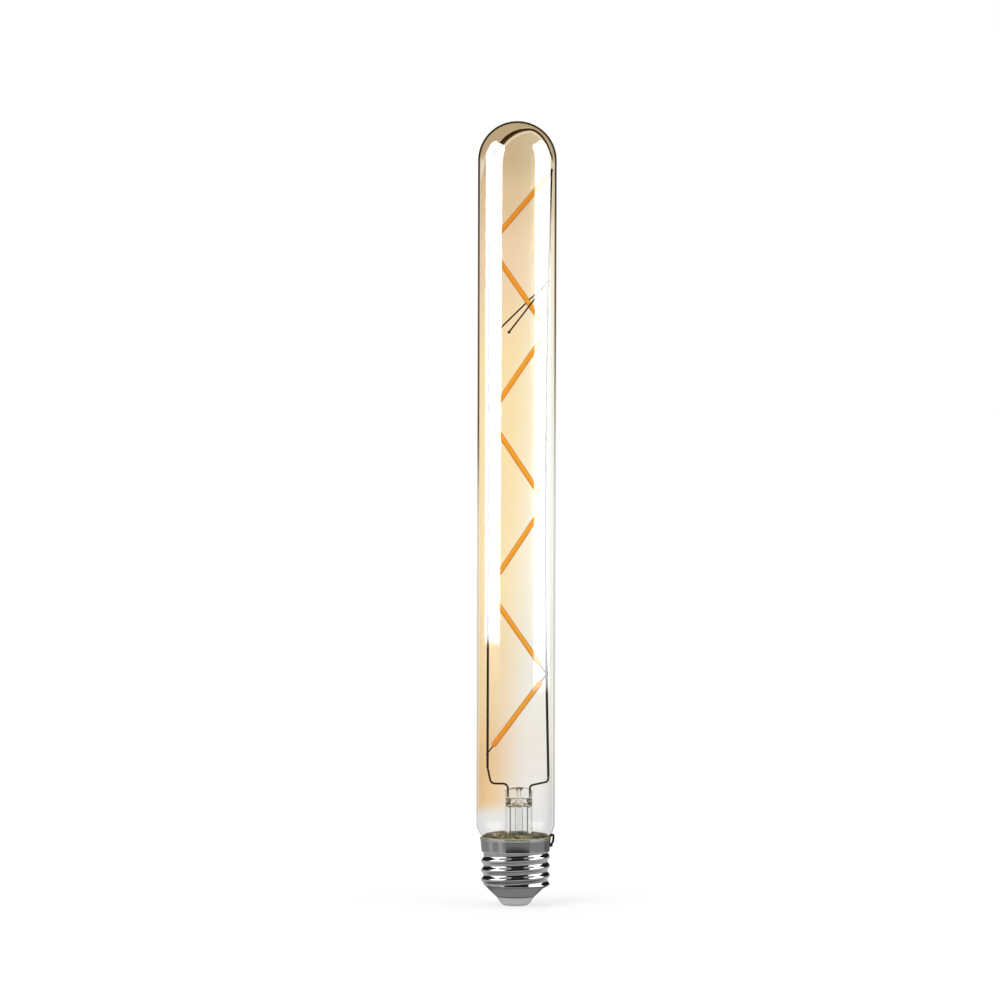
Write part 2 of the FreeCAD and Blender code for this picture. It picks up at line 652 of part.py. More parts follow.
def filament(number):
    side = -1 if number % 2 else 1
    upper, lower = worth(f"weld{number}"), worth(f"weld{number + 1}")
    plane = side * worth("filamentPlane")
    leftPlace = -worth("leftRailPlace")
    if number % 2:
        right = Vector(rightRailAt(upper), plane, upper)
        left = Vector(leftPlace, plane, lower)
    else:
        left = Vector(leftPlace, plane, upper)
        right = Vector(rightRailAt(lower), plane, lower)
    along = (right - left).normalize()
    middle = (left + right) * 0.5
    body = newBody(f"filament_{number}")
    radius, half = "(filamentDiameter / 2)", "(filamentLength / 2)"
    bore = "(tabWidth / 2 + tabThickness / 4 + fit)"
    turned(body, f"Coating{number}", [
        ("0", f"tabDepth - {half}"),
        (bore, f"tabDepth - {half}"),
        (bore, f"-{half}"),
        (f"{radius} - filamentRound", f"-{half}", "filamentRound", 1),
        (radius, f"filamentRound - {half}"),
        (radius, f"{half} - filamentRound", "filamentRound", 1),
        (f"{radius} - filamentRound", half),
        (bore, half),
        (bore, f"{half} - tabDepth"),
        ("0", f"{half} - tabDepth"),
    ])
    body.Placement = aimed(middle, right)
    pieces = [body]
    for name, weld, outward in (("left", left, along * -1), ("right", right, along)):
        start = middle + outward * (worth(f"{half} - tabDepth") + worth("fit"))
        end = weld + outward * worth("tabOvershoot")
        tab = document.addObject("Part::Box", f"tab_{number}_{name}")
        tab.Label = f"tab_{number}_{name}"
        bind(tab, "Length", "tabWidth")
        bind(tab, "Width", "tabThickness")
        tab.Height = (end - start).Length
        turn = Rotation(Vector(0, 1, 0), math.degrees(math.atan2(outward.x, outward.z)))
        corner = Vector(-worth("tabWidth") / 2, -worth("tabThickness") / 2, 0)
        tab.Placement = Placement(start + turn.multVec(corner), turn)
        pieces.append(tab)
    return pieces


# Struts: two sprung wires from one weld bead, each with a balled end just inside the glass.

def struts():
    height = worth("strutHeight")
    centre = Vector(rightRailAt(height), 0, height)
    clearance = worth("fit")
    blank = ball("strut_bead_blank", "beadDiameter", centre)
    tools = [rod("bead_bore", "(railDiameter + 4 * fit)", "strutHeight - beadDiameter",
                 "2 * beadDiameter", str(centre.x))]
    pieces = [cutFrom("strut_bead", blank, tools)]
    for name, bearing in (("front", "frontBearing"), ("back", "backBearing")):
        angle = math.radians(worth(bearing))
        reach = worth("insideTube - strutBall / 2 - fit")
        end = Vector(reach * math.cos(angle), reach * math.sin(angle), worth("strutEnd"))
        along = (end - centre).normalize()
        start = centre + along * (worth("beadDiameter") / 2 + clearance)
        body = newBody(f"strut_{name}")
        length = (end - start).Length
        ballRadius, wireRadius = worth("strutBall") / 2, worth("strutDiameter") / 2
        joint = length - math.sqrt(ballRadius ** 2 - wireRadius ** 2)
        turned(body, f"Strut{name}", [
            ("0", "0"),
            ("strutDiameter / 2", "0"),
            ("strutDiameter / 2", str(joint), "strutBall / 2", 1),
            ("0", f"{length} + strutBall / 2"),
        ])
        body.Placement = aimed(start, end)
        pieces.append(body)
    return pieces


# Cap shell: turned blank, a rolled right-hand ridge, then the same form from inside, so that
# the sheet keeps its thickness. The ridge's lower end is trimmed along a cone.

def threadSection(body, name, root, crest, base, halfWidth, start):
    """Section of the ridge on the left of the axis: two flanks and a rounded crest."""
    sketch = newSketch(body, f"{name}Section")
    flank = f"({crest} - ({crest} - {root}) / 2)"
    narrow = f"({halfWidth} / 2)"
    crestRadiusHere = f"(({crest} - {flank}) / 2 + {narrow}^2 / (2 * ({crest} - {flank})))"
    outline(sketch, [
        (f"-{base}", f"{start} + {halfWidth}"),
        (f"-{flank}", f"{start} + {narrow}", crestRadiusHere, 1),
        (f"-{flank}", f"{start} - {narrow}"),
        (f"-{base}", f"{start} - {halfWidth}"),
    ])
    return sketch


def ridge(body, name, sketch, turns, cut):
    feature = body.newObject("PartDesign::SubtractiveHelix" if cut else "PartDesign::AdditiveHelix",
                             name)
    feature.Profile = sketch
    feature.ReferenceAxis = (sketch, ["V_Axis"])
    feature.Mode = "pitch-turns-angle"
    bind(feature, "Pitch", "threadPitch")
    bind(feature, "Turns", turns)
    return feature


def capShell():
    body = newBody("cap_shell")
    turned(body, "Blank", [
        ("0", "lipHeight"),
        ("lipDiameter / 2", "lipHeight"),
        ("rootRadius", "threadFoot"),
        ("rootRadius", "collarFoot - collarStep"),
        ("collarFootDiameter / 2", "collarFoot"),
        ("rimDiameter / 2", "rimHeight - rimRound", "rimRound", 1),
        ("rimDiameter / 2 - rimRound", "rimHeight"),
        ("0", "rimHeight"),
    ])
    halfWidth = "(threadWidth / 2)"
    start = "(threadFoot - threadPitch / 2)"
    section = threadSection(body, "Ridge", "rootRadius", "crestRadius",
                            "(rootRadius - 2 * capWall)", halfWidth, start)
    ridge(body, "Ridge", section, "threadTurns", False)
    trim = "(crestRadius + capWall)"
    turned(body, "RunOut", [
        ("lipDiameter / 2", "lipHeight"),
        (trim, "lipHeight"),
        (trim, "threadFoot"),
        ("crestRadius", "threadFoot"),
        ("rootRadius - capWall", "threadFoot - runOut"),
    ], cut=True)
    inside = "(rootRadius - capWall)"
    turned(body, "Inside", [
        ("0", "lipHeight"),
        ("lipOpening / 2", "lipHeight"),
        ("lipOpening / 2", "lipHeight + capWall"),
        ("lipDiameter / 2 - capWall / 2", "lipHeight + capWall"),
        (inside, "threadFoot + capWall / 2"),
        (inside, "collarFoot - collarStep + capWall"),
        ("collarFootDiameter / 2 - capWall", "collarFoot + capWall"),
        ("rimDiameter / 2 - capWall", "rimHeight"),
        ("0", "rimHeight"),
    ], cut=True)
    groove = threadSection(body, "Groove", inside, "(crestRadius - capWall)",
                           f"({inside} - 2 * capWall)", f"({halfWidth} - capWall / 2)",
                           f"({start} + threadPitch)")
    ridge(body, "Groove", groove, "threadTurns - solidTurns", True)
    return body


# The rest of the cap

def collarAt(height):
    """Outside radius of the collar at a height."""
    share = f"(({height}) - collarFoot) / (rimHeight - collarFoot)"
    return f"(collarFootDiameter + (rimDiameter - collarFootDiameter) * {share}) / 2"


def shellWireRoute():
    """From the board up past the neck, over the rim along the glass, and down to the collar."""
    inside = "(neck + cementGap / 2)"
    gap = f"({collarAt('rimHeight')} - capWall - shellWireDiameter / 2 - 4 * fit)"
    skin = "(shoulderRadius + shellWireDiameter / 2 + 4 * fit)"
    beside = f"tubeRadius - shoulderRadius + sqrt({skin}^2 - (shoulderTop - loopHeight)^2)"
    outside = f"(max(rimDiameter / 2; {beside}) + loopReach)"
    return [
        ("shellWirePlace", "boardFoot - pinProud"),
        ("shellWirePlace", "collarFoot - shellWireShift"),
        (inside, "collarFoot + shellWireShift"),
        (inside, "neckTop - 2 * shellWireDiameter"),
        (gap, "rimHeight + loopRise / 6"),
        (beside, "loopHeight"),
        (outside, "loopHeight - loopReach * 3 / 4"),
        (f"{outside} - loopReach / 4", "rimHeight - loopDrop"),
        (f"{collarAt('weldHeight')} + shellWireDiameter", "weldHeight"),
    ]


def capWires():
    wire = bentWire("shell_wire", shellWireRoute(), "loopBend", "shellWireDiameter")
    wireTool = bentWire("weld_wire_hole", shellWireRoute(), "loopBend",
                        "(shellWireDiameter + 2 * fit)")
    place = Vector(worth(f"{collarAt('weldHeight')} + shellWireDiameter / 2"), 0,
                   worth("weldHeight"))
    blank = ball("shell_weld_blank", "weldDiameter", place)
    seat = newBody("weld_seat")
    turned(seat, "Seat", [
        ("0", "collarFoot"),
        ("collarFootDiameter / 2 + fit", "collarFoot"),
        ("rimDiameter / 2 + fit", "rimHeight"),
        ("0", "rimHeight"),
    ])
    return [wire, cutFrom("shell_weld", blank, [seat, wireTool])]


def capCement():
    blank = newBody("cement_blank")
    turned(blank, "Ring", [
        ("neck + fit", "cementFoot"),
        (f"{collarAt('cementFoot')} - capWall - fit", "cementFoot"),
        (f"{collarAt('cementTop')} - capWall - fit", "cementTop"),
        ("neck + fit", "cementTop"),
    ])
    slot = document.addObject("Part::Box", "cement_slot")
    bind(slot, "Length", "rimDiameter / 2 - neck")
    bind(slot, "Width", "cementGap")
    bind(slot, "Height", "cementTop - cementFoot + 2 * capWall")
    bind(slot, "Placement.Base.x", "neck")
    bind(slot, "Placement.Base.y", "-cementGap / 2")
    bind(slot, "Placement.Base.z", "cementFoot - capWall")
    return cutFrom("cap_cement", blank, [slot])


def capInsulator():
    body = newBody("cap_insulator")
    lean = "((threadRoot - lipDiameter) / 2 / (threadFoot - lipHeight))"
    seat = "(lipHeight + capWall + fit)"
    turned(body, "Moulded", [
        ("rivetDiameter / 2 + fit", "insulatorFoot"),
        ("insulatorFootDiameter / 2", "insulatorFoot"),
        ("lipDiameter / 2 - capWall", "lipHeight - fit"),
        ("lipOpening / 2 - fit", "lipHeight - fit"),
        ("lipOpening / 2 - fit", seat),
        ("lipDiameter / 2 - 2 * capWall", seat),
        (f"lipDiameter / 2 - 2 * capWall + {lean} * (insulatorTop - {seat})", "insulatorTop"),
        ("rivetHead / 2 + fit", "insulatorTop"),
        ("rivetHead / 2 + fit", "insulatorTop - contactThickness"),
        ("rivetDiameter / 2 + fit", "insulatorTop - contactThickness"),
    ])
    return body


def centreContact():
    body = newBody("centre_contact")
    turned(body, "Pressed", [
        ("0", "0"),
        ("contactDiameter / 2 - contactRound", "0", "contactRound", 1),
        ("contactDiameter / 2", "contactRound"),
        ("contactDiameter / 2", "contactThickness"),
        ("rivetDiameter / 2", "contactThickness"),
        ("rivetDiameter / 2", "insulatorTop - contactThickness + fit"),
        ("rivetHead / 2", "insulatorTop - contactThickness + fit"),
        ("rivetHead / 2", "insulatorTop - contactThickness / 2"),
        ("rivetBore / 2", "insulatorTop - contactThickness / 2"),
        ("rivetBore / 2", "contactThickness"),
        ("0", "contactThickness"),
    ])
    return body


# Driver: a round board across the cap, with the fuse resistor and capacitor below it.

def driverBoard():
    body = newBody("driver_board")
    raised(body, "Board", lambda sketch: circles(sketch, [("0", "0", "boardDiameter")]),
           "boardThickness", "boardFoot")
    holes = [
        ("0", "0", "pinDiameter + 2 * fit"),
        ("shellWirePlace", "0", "shellWireDiameter + 2 * fit"),
        ("mountOffset + outerSpread", "0", "outerDiameter + 2 * fit"),
        ("mountOffset - outerSpread", "0", "outerDiameter + 2 * fit"),
        ("-capacitorPlace - capacitorPins / 2", "0", "pinDiameter + 2 * fit"),
        ("-capacitorPlace + capacitorPins / 2", "0", "pinDiameter + 2 * fit"),
    ]
    raised(body, "Holes", lambda sketch: circles(sketch, holes), "boardThickness", "boardFoot",
           cut=True)
    return body


def chipPackage(label, length, width, side):
    """Moulded package on the board, with two legs each side."""
    body = newBody(label)
    half, depth = f"({length} / 2)", f"({width} / 2)"
    place = f"{side} * packageSpread"
    foot = "(boardTop + fit)"

    def rectangle(sketch, left, right, low, high):
        outline(sketch, [(left, low), (right, low), (right, high), (left, high)])

    block = raised(body, f"{label}Block",
                   lambda sketch: rectangle(sketch, f"-{half}", half, f"{place} - {depth}",
                                            f"{place} + {depth}"),
                   "packageHeight", foot)
    document.recompute()
    ceiling = worth(f"{foot} + packageHeight")
    rim = [f"Edge{number}" for number, edge in enumerate(block.Shape.Edges, start=1)
           if all(abs(vertex.Z - ceiling) < 1e-6 for vertex in edge.Vertexes)]
    chamfer = body.newObject("PartDesign::Chamfer", f"{label}Chamfer")
    chamfer.Base = (block, rim)
    bind(chamfer, "Size", "packageChamfer")
    for corner, (across, up) in enumerate(((-1, -1), (1, -1), (1, 1), (-1, 1))):
        left = f"{across} * {half} / 2 - pinDiameter / 2"
        inner = f"{place} + {up} * ({depth} - packageChamfer)"
        outer = f"{place} + {up} * ({depth} + 2 * pinDiameter)"
        ends = (inner, outer) if up > 0 else (outer, inner)
        raised(body, f"{label}Leg{corner}",
               lambda sketch: rectangle(sketch, left, f"{left} + pinDiameter", *ends),
               "packageChamfer", foot)
    return body


def filterCapacitor():
    body = newBody("filter_capacitor")
    foot = "(boardFoot - fit - capacitorHeight)"
    radius = "(capacitorDiameter / 2)"
    turned(body, "Can", [
        ("0", foot),
        (f"{radius} - capacitorEdge", foot, "capacitorEdge", 1),
        (radius, f"{foot} + capacitorEdge"),
        (radius, "boardFoot - fit - 3 * capacitorEdge"),
        (f"{radius} - capacitorEdge / 2", "boardFoot - fit - 2 * capacitorEdge"),
        (radius, "boardFoot - fit - capacitorEdge"),
        (radius, "boardFoot - fit"),
        ("0", "boardFoot - fit"),
    ], shift="-capacitorPlace")
    pins = [("-capacitorPlace - capacitorPins / 2", "0", "pinDiameter"),
            ("-capacitorPlace + capacitorPins / 2", "0", "pinDiameter")]
    raised(body, "Pins", lambda sketch: circles(sketch, pins), "boardThickness + pinProud + 2 * fit",
           "boardFoot - 2 * fit")
    return body


def fuseResistor():
    body = newBody("fuse_resistor")
    pin, radius = "(pinDiameter / 2)", "(fuseDiameter / 2)"
    turned(body, "Fuse", [
        ("0", "contactThickness + fit"),
        (pin, "contactThickness + fit"),
        (pin, "fuseFoot"),
        (f"{radius} - fuseRound", "fuseFoot", "fuseRound", 1),
        (radius, "fuseFoot + fuseRound"),
        (radius, "fuseTop - fuseRound", "fuseRound", 1),
        (f"{radius} - fuseRound", "fuseTop"),
        (pin, "fuseTop"),
        (pin, "boardTop + pinProud"),
        ("0", "boardTop + pinProud"),
    ])
    return body


pieces = [glassEnvelope(), stem(), exhaustTube()]
pieces += [sealWire("seal_wire_right", 1, "0"), sealWire("seal_wire_left", -1, "0")]
pieces += leads() + rails() + outerLeads()
for number in range(1, 8):
    pieces += filament(number)
pieces += struts()
pieces += [capShell(), capInsulator(), centreContact(), capCement()]
pieces += capWires()
pieces += [driverBoard(), filterCapacitor(), fuseResistor()]
pieces.append(chipPackage("bridge_rectifier", "bridgeLength", "bridgeWidth", 1))
pieces.append(chipPackage("driver_chip", "chipLength", "chipWidth", -1))
document.recompute()

for item in document.Objects:
    if "Invalid" in item.State or "Error" in item.State:
        raise RuntimeError(f"{item.Label} failed: {item.State}")
os.makedirs("parts", exist_ok=True)
for piece in pieces:
    if piece.Shape.isNull() or not piece.Shape.isValid() or not piece.Shape.Solids:
        raise RuntimeError(f"{piece.Label} has no sound shape")
    piece.Shape.exportStep(f"parts/{piece.Label}.step")
print(f"{len(pieces)} pieces written")
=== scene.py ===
# Tubular amber light bulb: the looks of its glass, filaments, mount and screw cap over the packed
# frame. Sizes of pieces are in millimetres, which mm turns into metres. The studio, and places in
# materials, are in metres where nothing else is said.
import math

import bmesh
import bpy
import numpy as np
from mathutils import Matrix, Vector


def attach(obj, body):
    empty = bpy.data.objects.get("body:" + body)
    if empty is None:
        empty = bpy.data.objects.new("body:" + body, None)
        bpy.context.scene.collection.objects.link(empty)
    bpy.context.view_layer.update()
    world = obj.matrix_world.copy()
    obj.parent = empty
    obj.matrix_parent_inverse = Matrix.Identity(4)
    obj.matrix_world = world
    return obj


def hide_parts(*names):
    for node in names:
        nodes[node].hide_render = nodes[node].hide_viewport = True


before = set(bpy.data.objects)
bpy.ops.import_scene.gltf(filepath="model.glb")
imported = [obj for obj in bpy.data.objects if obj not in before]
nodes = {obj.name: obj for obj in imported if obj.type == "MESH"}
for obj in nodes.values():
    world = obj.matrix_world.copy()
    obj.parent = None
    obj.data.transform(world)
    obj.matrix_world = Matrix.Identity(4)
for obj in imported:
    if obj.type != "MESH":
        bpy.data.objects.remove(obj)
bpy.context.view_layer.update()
mm = 0.001
white = (1.0, 1.0, 1.0)
print("frame loaded with", len(nodes), "nodes")


# Shader maths and nodes

class Tone:
    # a number that changes over a surface, and the usual signs between two of them
    def __init__(self, shades, socket):
        self.shades = shades
        self.socket = socket

    def __add__(self, other):
        return self.shades.maths("ADD", self, other)

    def __radd__(self, other):
        return self.shades.maths("ADD", other, self)

    def __sub__(self, other):
        return self.shades.maths("SUBTRACT", self, other)

    def __rsub__(self, other):
        return self.shades.maths("SUBTRACT", other, self)

    def __mul__(self, other):
        return self.shades.maths("MULTIPLY", self, other)

    def __rmul__(self, other):
        return self.shades.maths("MULTIPLY", other, self)

    def __truediv__(self, other):
        return self.shades.maths("DIVIDE", self, other)

    def __rtruediv__(self, other):
        return self.shades.maths("DIVIDE", other, self)

    def __pow__(self, other):
        return self.shades.maths("POWER", self, other)

    def __rpow__(self, other):
        return self.shades.maths("POWER", other, self)


class Shades:
    # the node tree of a material or the world
    def __init__(self, owner):
        owner.use_nodes = True
        self.owner = owner
        self.tree = owner.node_tree
        self.tree.nodes.clear()

    def add(self, kind, settings=None, sockets=None):
        # one node of any kind: its settings come first, then a value or a link for each socket
        node = self.tree.nodes.new("ShaderNode" + kind)
        for name, setting in (settings or {}).items():
            if name == "stops":
                self.setStops(node.color_ramp, setting)
            else:
                setattr(node, name, setting)
        for name, given in (sockets or {}).items():
            if isinstance(given, Tone):
                self.tree.links.new(given.socket, node.inputs[name])
            elif isinstance(given, bpy.types.NodeSocket):
                self.tree.links.new(given, node.inputs[name])
            else:
                node.inputs[name].default_value = given
        return node

    def setStops(self, ramp, stops):
        while len(ramp.elements) < len(stops):
            ramp.elements.new(1.0)
        for element, (place, colour) in zip(ramp.elements, stops):
            element.position = place
            element.color = (*colour, 1.0)

    def maths(self, operation, *given):
        # one Math node over tones and numbers
        node = self.add("Math", {"operation": operation}, dict(enumerate(given)))
        return Tone(self, node.outputs[0])

    def place(self):
        # where a point is on the part, in metres
        if not hasattr(self, "coordinates"):
            self.coordinates = self.add("TexCoord").outputs["Object"]
        return self.coordinates

    def along(self, axis):
        if not hasattr(self, "parts"):
            self.parts = self.add("SeparateXYZ", {}, {0: self.place()})
        return Tone(self, self.parts.outputs[axis])

    def bearing(self):
        # degrees round the bulb: 0 towards the camera and 90 to its right
        return self.maths("ARCTAN2", self.along(0), self.along(1) * -1) * (180 / math.pi)

    def facing(self):
        # 0 where the surface is seen face on, and 1 where it is seen edge on
        return Tone(self, self.add("LayerWeight", {}, {"Blend": 0.5}).outputs["Facing"])

    def ray(self, kind):
        # 1 for rays of one kind: Camera, Shadow, Glossy, Transmission, or Singular for the rays
        # that polished glass sends on
        if not hasattr(self, "path"):
            self.path = self.add("LightPath")
        return Tone(self, self.path.outputs[f"Is {kind} Ray"])

    def size(self, tone):
        return self.maths("ABSOLUTE", tone)

    def ease(self, tone, low, high):
        # 0 up to low, 1 from high, and a smooth rise between them
        settings = {"interpolation_type": "SMOOTHSTEP"}
        node = self.add("MapRange", settings, {0: tone, 1: low, 2: high, 3: 0.0, 4: 1.0})
        return Tone(self, node.outputs[0])

    def within(self, tone, low, high, soft):
        # 1 between low and high, and 0 from soft outside them
        return self.ease(tone, low - soft, low) * (1 - self.ease(tone, high, high + soft))

    def noise(self, scale, detail, stretch=(1, 1, 1)):
        # cloudy noise about 0.5, with its lumps 1 / scale long and drawn out by stretch
        moved = self.add("Mapping", {}, {"Vector": self.place(), "Scale": stretch})
        sockets = {"Vector": moved.outputs[0], "Scale": scale, "Detail": detail}
        return Tone(self, self.add("TexNoise", {}, sockets).outputs["Fac"])

    def blend(self, factor, first, second):
        # a mix of two colours
        settings = {"data_type": "RGBA"}
        sockets = {0: factor, 6: withAlpha(first), 7: withAlpha(second)}
        return self.add("Mix", settings, sockets).outputs[2]

    def ramp(self, factor, stops):
        return self.add("ValToRGB", {"stops": stops}, {0: factor}).outputs[0]

    def bump(self, height, distance, strength):
        sockets = {"Height": height, "Distance": distance, "Strength": strength}
        return self.add("Bump", {}, sockets).outputs[0]

    def mixed(self, factor, first, second):
        # a mix of two shaders
        return self.add("MixShader", {}, {0: factor, 1: first, 2: second}).outputs[0]

    def clear(self, colour):
        # a film that lets light straight through and tints it
        return self.add("BsdfTransparent", {}, {"Color": withAlpha(colour)}).outputs[0]

    def films(self, tone, stops):
        # clear films, each of which gives way to the next between its own place and the next's
        film = self.clear(stops[0][1])
        for (low, _), (high, tint) in zip(stops, stops[1:]):
            film = self.mixed(self.ease(tone, low, high), film, self.clear(tint))
        return film

    def mirror(self, roughness):
        sockets = {"Color": withAlpha(white), "Roughness": roughness}
        return self.add("BsdfGlossy", {}, sockets).outputs[0]

    def shine(self, colour, strength):
        sockets = {"Color": withAlpha(colour), "Strength": strength}
        return self.add("Emission", {}, sockets).outputs[0]

    def principled(self, sockets):
        full = {name: withAlpha(given) if name.endswith("Color") else given
                for name, given in sockets.items()}
        return self.add("BsdfPrincipled", {}, full).outputs[0]

    def finish(self, shader, output="OutputMaterial"):
        self.add(output, {}, {"Surface": shader})
        return self.owner


def withAlpha(colour):
    return (*colour, 1.0) if isinstance(colour, tuple) and len(colour) == 3 else colour


def grey(level):
    return (level, level, level)


def newMaterial(name):
    return Shades(bpy.data.materials.new(name))


# Numpy surfaces

def addObject(name, data):
    made = bpy.data.objects.new(name, data)
    bpy.context.scene.collection.objects.link(made)
    return made


def surface(name, grid, material, wrapRows=False, wrapColumns=True, poles=(False, False),
            uv=None, crease=40.0):
    # A grid of points as one skin: each point joins the next in its row and its column, and the
    # last joins the first where the grid wraps. A row at a pole is one point with a fan of
    # triangles. The faces turn outwards: their signed volume is the sum of each corner triple's
    # product, and where that is below nought they are all turned over.
    rows, columns = grid.shape[:2]
    number = np.arange(rows * columns).reshape(rows, columns)
    if wrapColumns:
        number = np.hstack([number, number[:, :1]])
    if wrapRows:
        number = np.vstack([number, number[:1]])
    corner = (number[:-1, :-1], number[:-1, 1:], number[1:, 1:], number[1:, :-1])
    quads = np.stack(corner, axis=-1)
    body = quads[int(poles[0]):len(quads) - int(poles[1])].reshape(-1, 4)
    pole = np.zeros(number.shape[1] - 1, int)
    fans = [np.zeros((0, 3), int)]
    if poles[0]:
        fans.append(np.stack([pole + number[0, 0], number[1, 1:], number[1, :-1]], axis=-1))
    if poles[1]:
        fans.append(np.stack([number[-2, :-1], number[-2, 1:], pole + number[-1, 0]], axis=-1))
    fan = np.concatenate(fans)
    points = grid.reshape(-1, 3)
    corners = np.concatenate([body[:, [0, 1, 2]], body[:, [0, 2, 3]], fan])
    volume = np.einsum("ij,ij->i", points[corners[:, 0]],
                       np.cross(points[corners[:, 1]], points[corners[:, 2]])).sum()
    if volume < 0:
        body, fan = body[:, ::-1], fan[:, ::-1]
    loops = np.concatenate([body.reshape(-1), fan.reshape(-1)])
    used = np.unique(loops)
    renumber = np.full(len(points), -1)
    renumber[used] = np.arange(len(used))
    faces = renumber[body].tolist() + renumber[fan].tolist()
    mesh = bpy.data.meshes.new(name)
    mesh.from_pydata(points[used].tolist(), [], faces)
    if uv is not None:
        layer = mesh.uv_layers.new(name="UVMap")
        layer.data.foreach_set("uv", uv.reshape(-1, 2)[loops].reshape(-1))
    mesh.update()
    mesh.shade_smooth()
    mesh.set_sharp_from_angle(angle=math.radians(crease))
    mesh.materials.append(material)
    return addObject(name, mesh)


def onPart(piece, node):
    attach(piece, "root")
    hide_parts(node)
    return piece


def paint(material, *names):
    for name in names:
        for holder in nodes[name].material_slots:
            holder.material = material


def readPoints(items, field):
    # one vector for each vertex or face of a mesh
    values = np.empty(len(items) * 3)
    items.foreach_get(field, values)
    return values.reshape(-1, 3)


def arc(middle, radius, start, end, count):
    # points on a circle from one angle to the other: middle + radius * (cos, sin)
    angles = np.radians(np.linspace(start, end, count))
    return np.stack([middle[0] + radius * np.cos(angles),
                     middle[1] + radius * np.sin(angles)], axis=-1)


def around(count):
    # evenly spaced angles of a full circle
    return np.linspace(0, 2 * np.pi, count, endpoint=False)


def turned(radius, height, count):
    # Rows of radius and height carried round the axis: (r cos a, r sin a, z). A row has either one
    # value for the whole circle or one for each angle.
    radius, height, angle = np.broadcast_arrays(radius, height, around(count))
    return np.stack([radius * np.cos(angle), radius * np.sin(angle), height], axis=-1) * mm


def turnedProfile(profile, count):
    return turned(profile[:, :1], profile[:, 1:], count)


def smooth(values):
    # the smooth step 3 v v - 2 v v v between 0 and 1
    held = np.clip(values, 0, 1)
    return held * held * (3 - 2 * held)


# Camera and studio

studio = {
    "distance": 2.3,                 # camera to the middle of the bulb
    "elevation": 1.9,                # degrees above the horizon
    "sensor": 36.0,                  # width in millimetres
    "lens": 216.5,
    "farEnd": 100.0,                 # how far the camera sees
    "lookAt": (-0.0063, 0.0, 0.1553),
    "roll": 0.153,                   # degrees, the bulb leans a little to the right
    "skyLevel": 0.62,                # how bright the room is for matt surfaces
    "skyMirrored": 0.015,            # and for mirrored ones, past the cards
    # the way to each sun, its strength and its breadth in degrees
    "suns": {"key": ((-1.0, -1.3, 1.3), 1.1, 35), "fill": ((1.4, -0.9, 0.9), 0.55, 45)},
    "floorSpan": 12.0,
    "floorHeight": -0.0002,
    "floorGrey": 0.4,
    "floorGlow": (0.36, 0.64),       # added for matt surfaces, and for the camera up to white
    "discAround": 64,                # points round the disc overhead and the table
}


def makeCamera():
    data = bpy.data.cameras.new("camera")
    data.sensor_width = studio["sensor"]
    data.lens = studio["lens"]
    data.clip_end = studio["farEnd"]
    camera = addObject("camera", data)
    lift = math.radians(studio["elevation"])
    away = Vector((0, -math.cos(lift), math.sin(lift)))
    turn = (-away).to_track_quat("-Z", "Y").to_matrix().to_4x4()
    lean = Matrix.Rotation(math.radians(studio["roll"]), 4, "Z")
    spot = Vector(studio["lookAt"]) + away * studio["distance"]
    camera.matrix_world = Matrix.Translation(spot) @ turn @ lean
    bpy.context.scene.camera = camera


def makeSky():
    # white for the camera and through glass, plainer for matt and mirrored surfaces
    world = bpy.data.worlds.new("sky")
    bpy.context.scene.world = world
    shades = Shades(world)
    seen = shades.ray("Camera") + shades.ray("Transmission")
    plain = studio["skyLevel"]
    level = plain + shades.ray("Glossy") * (studio["skyMirrored"] - plain)
    level = level + seen * (1.0 - level)
    light = shades.add("Background", {}, {"Color": withAlpha(white), "Strength": level})
    shades.finish(light.outputs[0], "OutputWorld")


def makeSun(name, towards, strength, breadth):
    # a broad lamp that lights everything alike, and isn't itself mirrored
    data = bpy.data.lights.new(name, "SUN")
    data.energy = strength
    data.angle = math.radians(breadth)
    lamp = addObject(name, data)
    lamp.rotation_euler = (-Vector(towards)).to_track_quat("-Z", "Y").to_euler()
    lamp.visible_glossy = False
    lamp.visible_transmission = False


def makeFloor():
    # white paper that takes the bulb's shadow, and that gloss doesn't mirror
    shades = newMaterial("paper")
    seen = shades.ray("Camera") + shades.ray("Transmission")
    least, most = studio["floorGlow"]
    glow = shades.shine(white, least + seen * (most - least))
    matt = shades.add("BsdfDiffuse", {}, {"Color": withAlpha(grey(studio["floorGrey"]))})
    both = shades.add("AddShader", {}, {0: glow, 1: matt.outputs[0]})
    paper = shades.finish(both.outputs[0])
    across = np.linspace(-studio["floorSpan"], studio["floorSpan"], 3)
    flat = np.full((3, 3), studio["floorHeight"])
    grid = np.stack([*np.meshgrid(across, across), flat], axis=-1)
    floor = surface("floor", grid, paper, wrapColumns=False)
    floor.visible_glossy = False


def showOnlyMirrored(card):
    card.visible_camera = False
    card.visible_diffuse = False
    card.visible_transmission = False
    card.visible_volume_scatter = False
    card.visible_shadow = False


def makeCard(name, card, material):
    # A bent card round the bulb, between two bearings and two heights. Its upper corners are cut
    # back by corner degrees over the last fifth of its height, and its right edge is moved by
    # lean, which gives degrees by part of its height.
    across, up = np.meshgrid(np.linspace(-1, 1, 25), np.linspace(0, 1, 11))
    left, right = card["bearings"]
    foot, top = card["heights"]
    cut = card["corner"] * np.clip((up - 0.8) / 0.2, 0, 1)
    shift = np.interp(up, *np.transpose(card["lean"])) * (across + 1) / 2
    bearing = np.radians((left + right) / 2 + across * ((right - left) / 2 - cut) + shift)
    grid = np.stack([card["distance"] * np.sin(bearing), -card["distance"] * np.cos(bearing),
                     foot + up * (top - foot)], axis=-1)
    showOnlyMirrored(surface(name, grid, material, wrapColumns=False))


